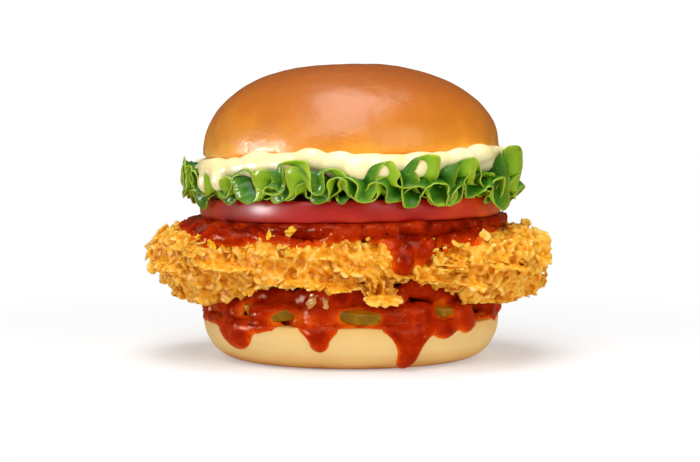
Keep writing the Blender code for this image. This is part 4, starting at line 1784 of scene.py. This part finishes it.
@dataclass
class Studio:
    """White floor and surround, a long soft box overhead, a strip at the left, and the camera."""

    eye: tuple[float, float, float] = (0.0, -0.620, 0.078)
    aim: tuple[float, float, float] = (-0.0003, 0.0, 0.0413)
    lens: float = 95.7
    lamps: tuple[Lamp, ...] = (
        Lamp("overhead_box", (-0.04, -0.22, 0.60), (0, 0, 0.05), (0.36, 0.90), 4.3),
        Lamp("left_sparkle", (-0.62, -0.24, 0.035), (0, 0, 0.045), (0.24, 0.28), 7.6, lights=False),
        Lamp("right_fill", (0.55, -0.75, 0.35), (0, 0, 0.04), (0.6, 0.5), 2.0),
        Lamp("small_key", (-0.42, -0.60, 0.42), (0, 0, 0.04), (0.12, 0.12), 0.4),
    )

    def build(self) -> None:
        """Sets up the floor, the surround, the lamps and the camera."""
        self._floor()
        for lamp in self.lamps:
            lamp.build()
        self._surround()
        bpy.ops.object.camera_add(location=self.eye)
        camera = bpy.context.object
        camera.name = "camera"
        camera.data.sensor_width = 36
        camera.data.lens = self.lens
        camera.rotation_euler = (Vector(self.aim) - Vector(self.eye)).to_track_quat("-Z", "Y").to_euler()
        bpy.context.scene.camera = camera
        bpy.context.scene.view_settings.view_transform = "Standard"

    @staticmethod
    def _floor() -> None:
        """A white sweep that takes the burger's shadow near it and glows evenly white further off."""
        bpy.ops.mesh.primitive_plane_add(size=8.0, location=(0, 0, -0.05 * MM))
        floor = bpy.context.object
        floor.name = "studio_floor"
        material = bpy.data.materials.new("white_paper_sweep")
        material.use_nodes = True
        tree = material.node_tree
        shader = tree.nodes["Principled BSDF"]
        shader.inputs["Base Color"].default_value = linear("fafafa")
        shader.inputs["Roughness"].default_value = 0.9
        place = add_node(tree, "ShaderNodeTexCoord").outputs["Object"]
        distance = add_node(tree, "ShaderNodeVectorMath", {0: place}, operation="LENGTH").outputs["Value"]
        glow = add_node(tree, "ShaderNodeEmission")
        blend = add_node(
            tree,
            "ShaderNodeMixShader",
            {0: span(tree, distance, 0.05, 0.26, 0.35, 1.0), 1: shader.outputs[0], 2: glow.outputs[0]},
        )
        glossy = add_node(tree, "ShaderNodeLightPath").outputs["Is Glossy Ray"]
        dim = add_node(tree, "ShaderNodeEmission", None, {"Strength": 0.3, "Color": linear("ffc88c")})
        seen = add_node(tree, "ShaderNodeMixShader", {0: glossy, 1: blend.outputs[0], 2: dim.outputs[0]})
        tree.links.new(seen.outputs[0], tree.nodes["Material Output"].inputs["Surface"])
        floor.data.materials.append(material)

    @staticmethod
    def _surround() -> None:
        """A world that is plain white to look at and gentler as light."""
        world = bpy.data.worlds.new("white_surround")
        world.use_nodes = True
        tree = world.node_tree
        ray = add_node(tree, "ShaderNodeLightPath")
        strength = maths(tree, "MULTIPLY_ADD", ray.outputs["Is Camera Ray"], 0.70, 0.35)
        strength = maths(tree, "MULTIPLY_ADD", ray.outputs["Is Glossy Ray"], -0.25, strength)
        background = tree.nodes["Background"]
        tree.links.new(mixed(tree, ray.outputs["Is Glossy Ray"], "ffffff", "ffdcb8"), background.inputs["Color"])
        tree.links.new(strength, background.inputs["Strength"])
        bpy.context.scene.world = world


# ---------------------------------------------------------------- the burger


def main() -> None:
    """Builds the studio and every layer from the bottom up."""
    logging.basicConfig(level=logging.INFO, format="%(relativeCreated)6d %(message)s")
    Studio().build()
    heel = BunHeel().build()
    discs = Gherkins().build()
    chilli = ChilliSauce().build()
    # painted light: the lower sauce gets a paler, brighter copy of the sauce, standing in for light bounced up onto it
    # under the crust
    light = ("ee6a08", "da4a04", "be3002", "9a1a00", "780c00")
    bright = ChilliSauce(name="bright_chilli_sauce", shades=light).build()
    lower = LowerSauce().build(heel, discs, bright)
    crust, _ = ChickenFillet().build()
    upper = UpperSauce().build(crust, chilli)
    crumbs = (
        (-142.4, 41.5 * MM, 3.4 * MM),
        (-138, 39.6 * MM, 3.4 * MM),
        (-134, 38.4 * MM, 3.2 * MM),
        (-118, 42.5 * MM, 2.6 * MM),
        (-111.5, 44.0 * MM, 4.0 * MM),
        (-84, 42 * MM, 2.4 * MM),
    )
    StrayBits("bright_crumbs", "crust", crumbs, 0.9 * MM, 0.9, 0.25, 1.0, 81).build([upper, crust], SaffronCrumb().build())
    onion = ((-104.6, 22.0 * MM, 4.4 * MM), (-99, 21.6 * MM, 4.6 * MM), (-133, 19.0 * MM, 2.6 * MM))
    StrayBits("onion_shreds", "gherkin", onion, 1.5 * MM, 0.5, 0.06, 0.0, 91).build([lower], SoftOnion().build())
    for layer in (TomatoSlice(), Lettuce(), MayonnaiseRing(), BunCrown()):
        layer.build()


if __name__ == "__main__":
    main()
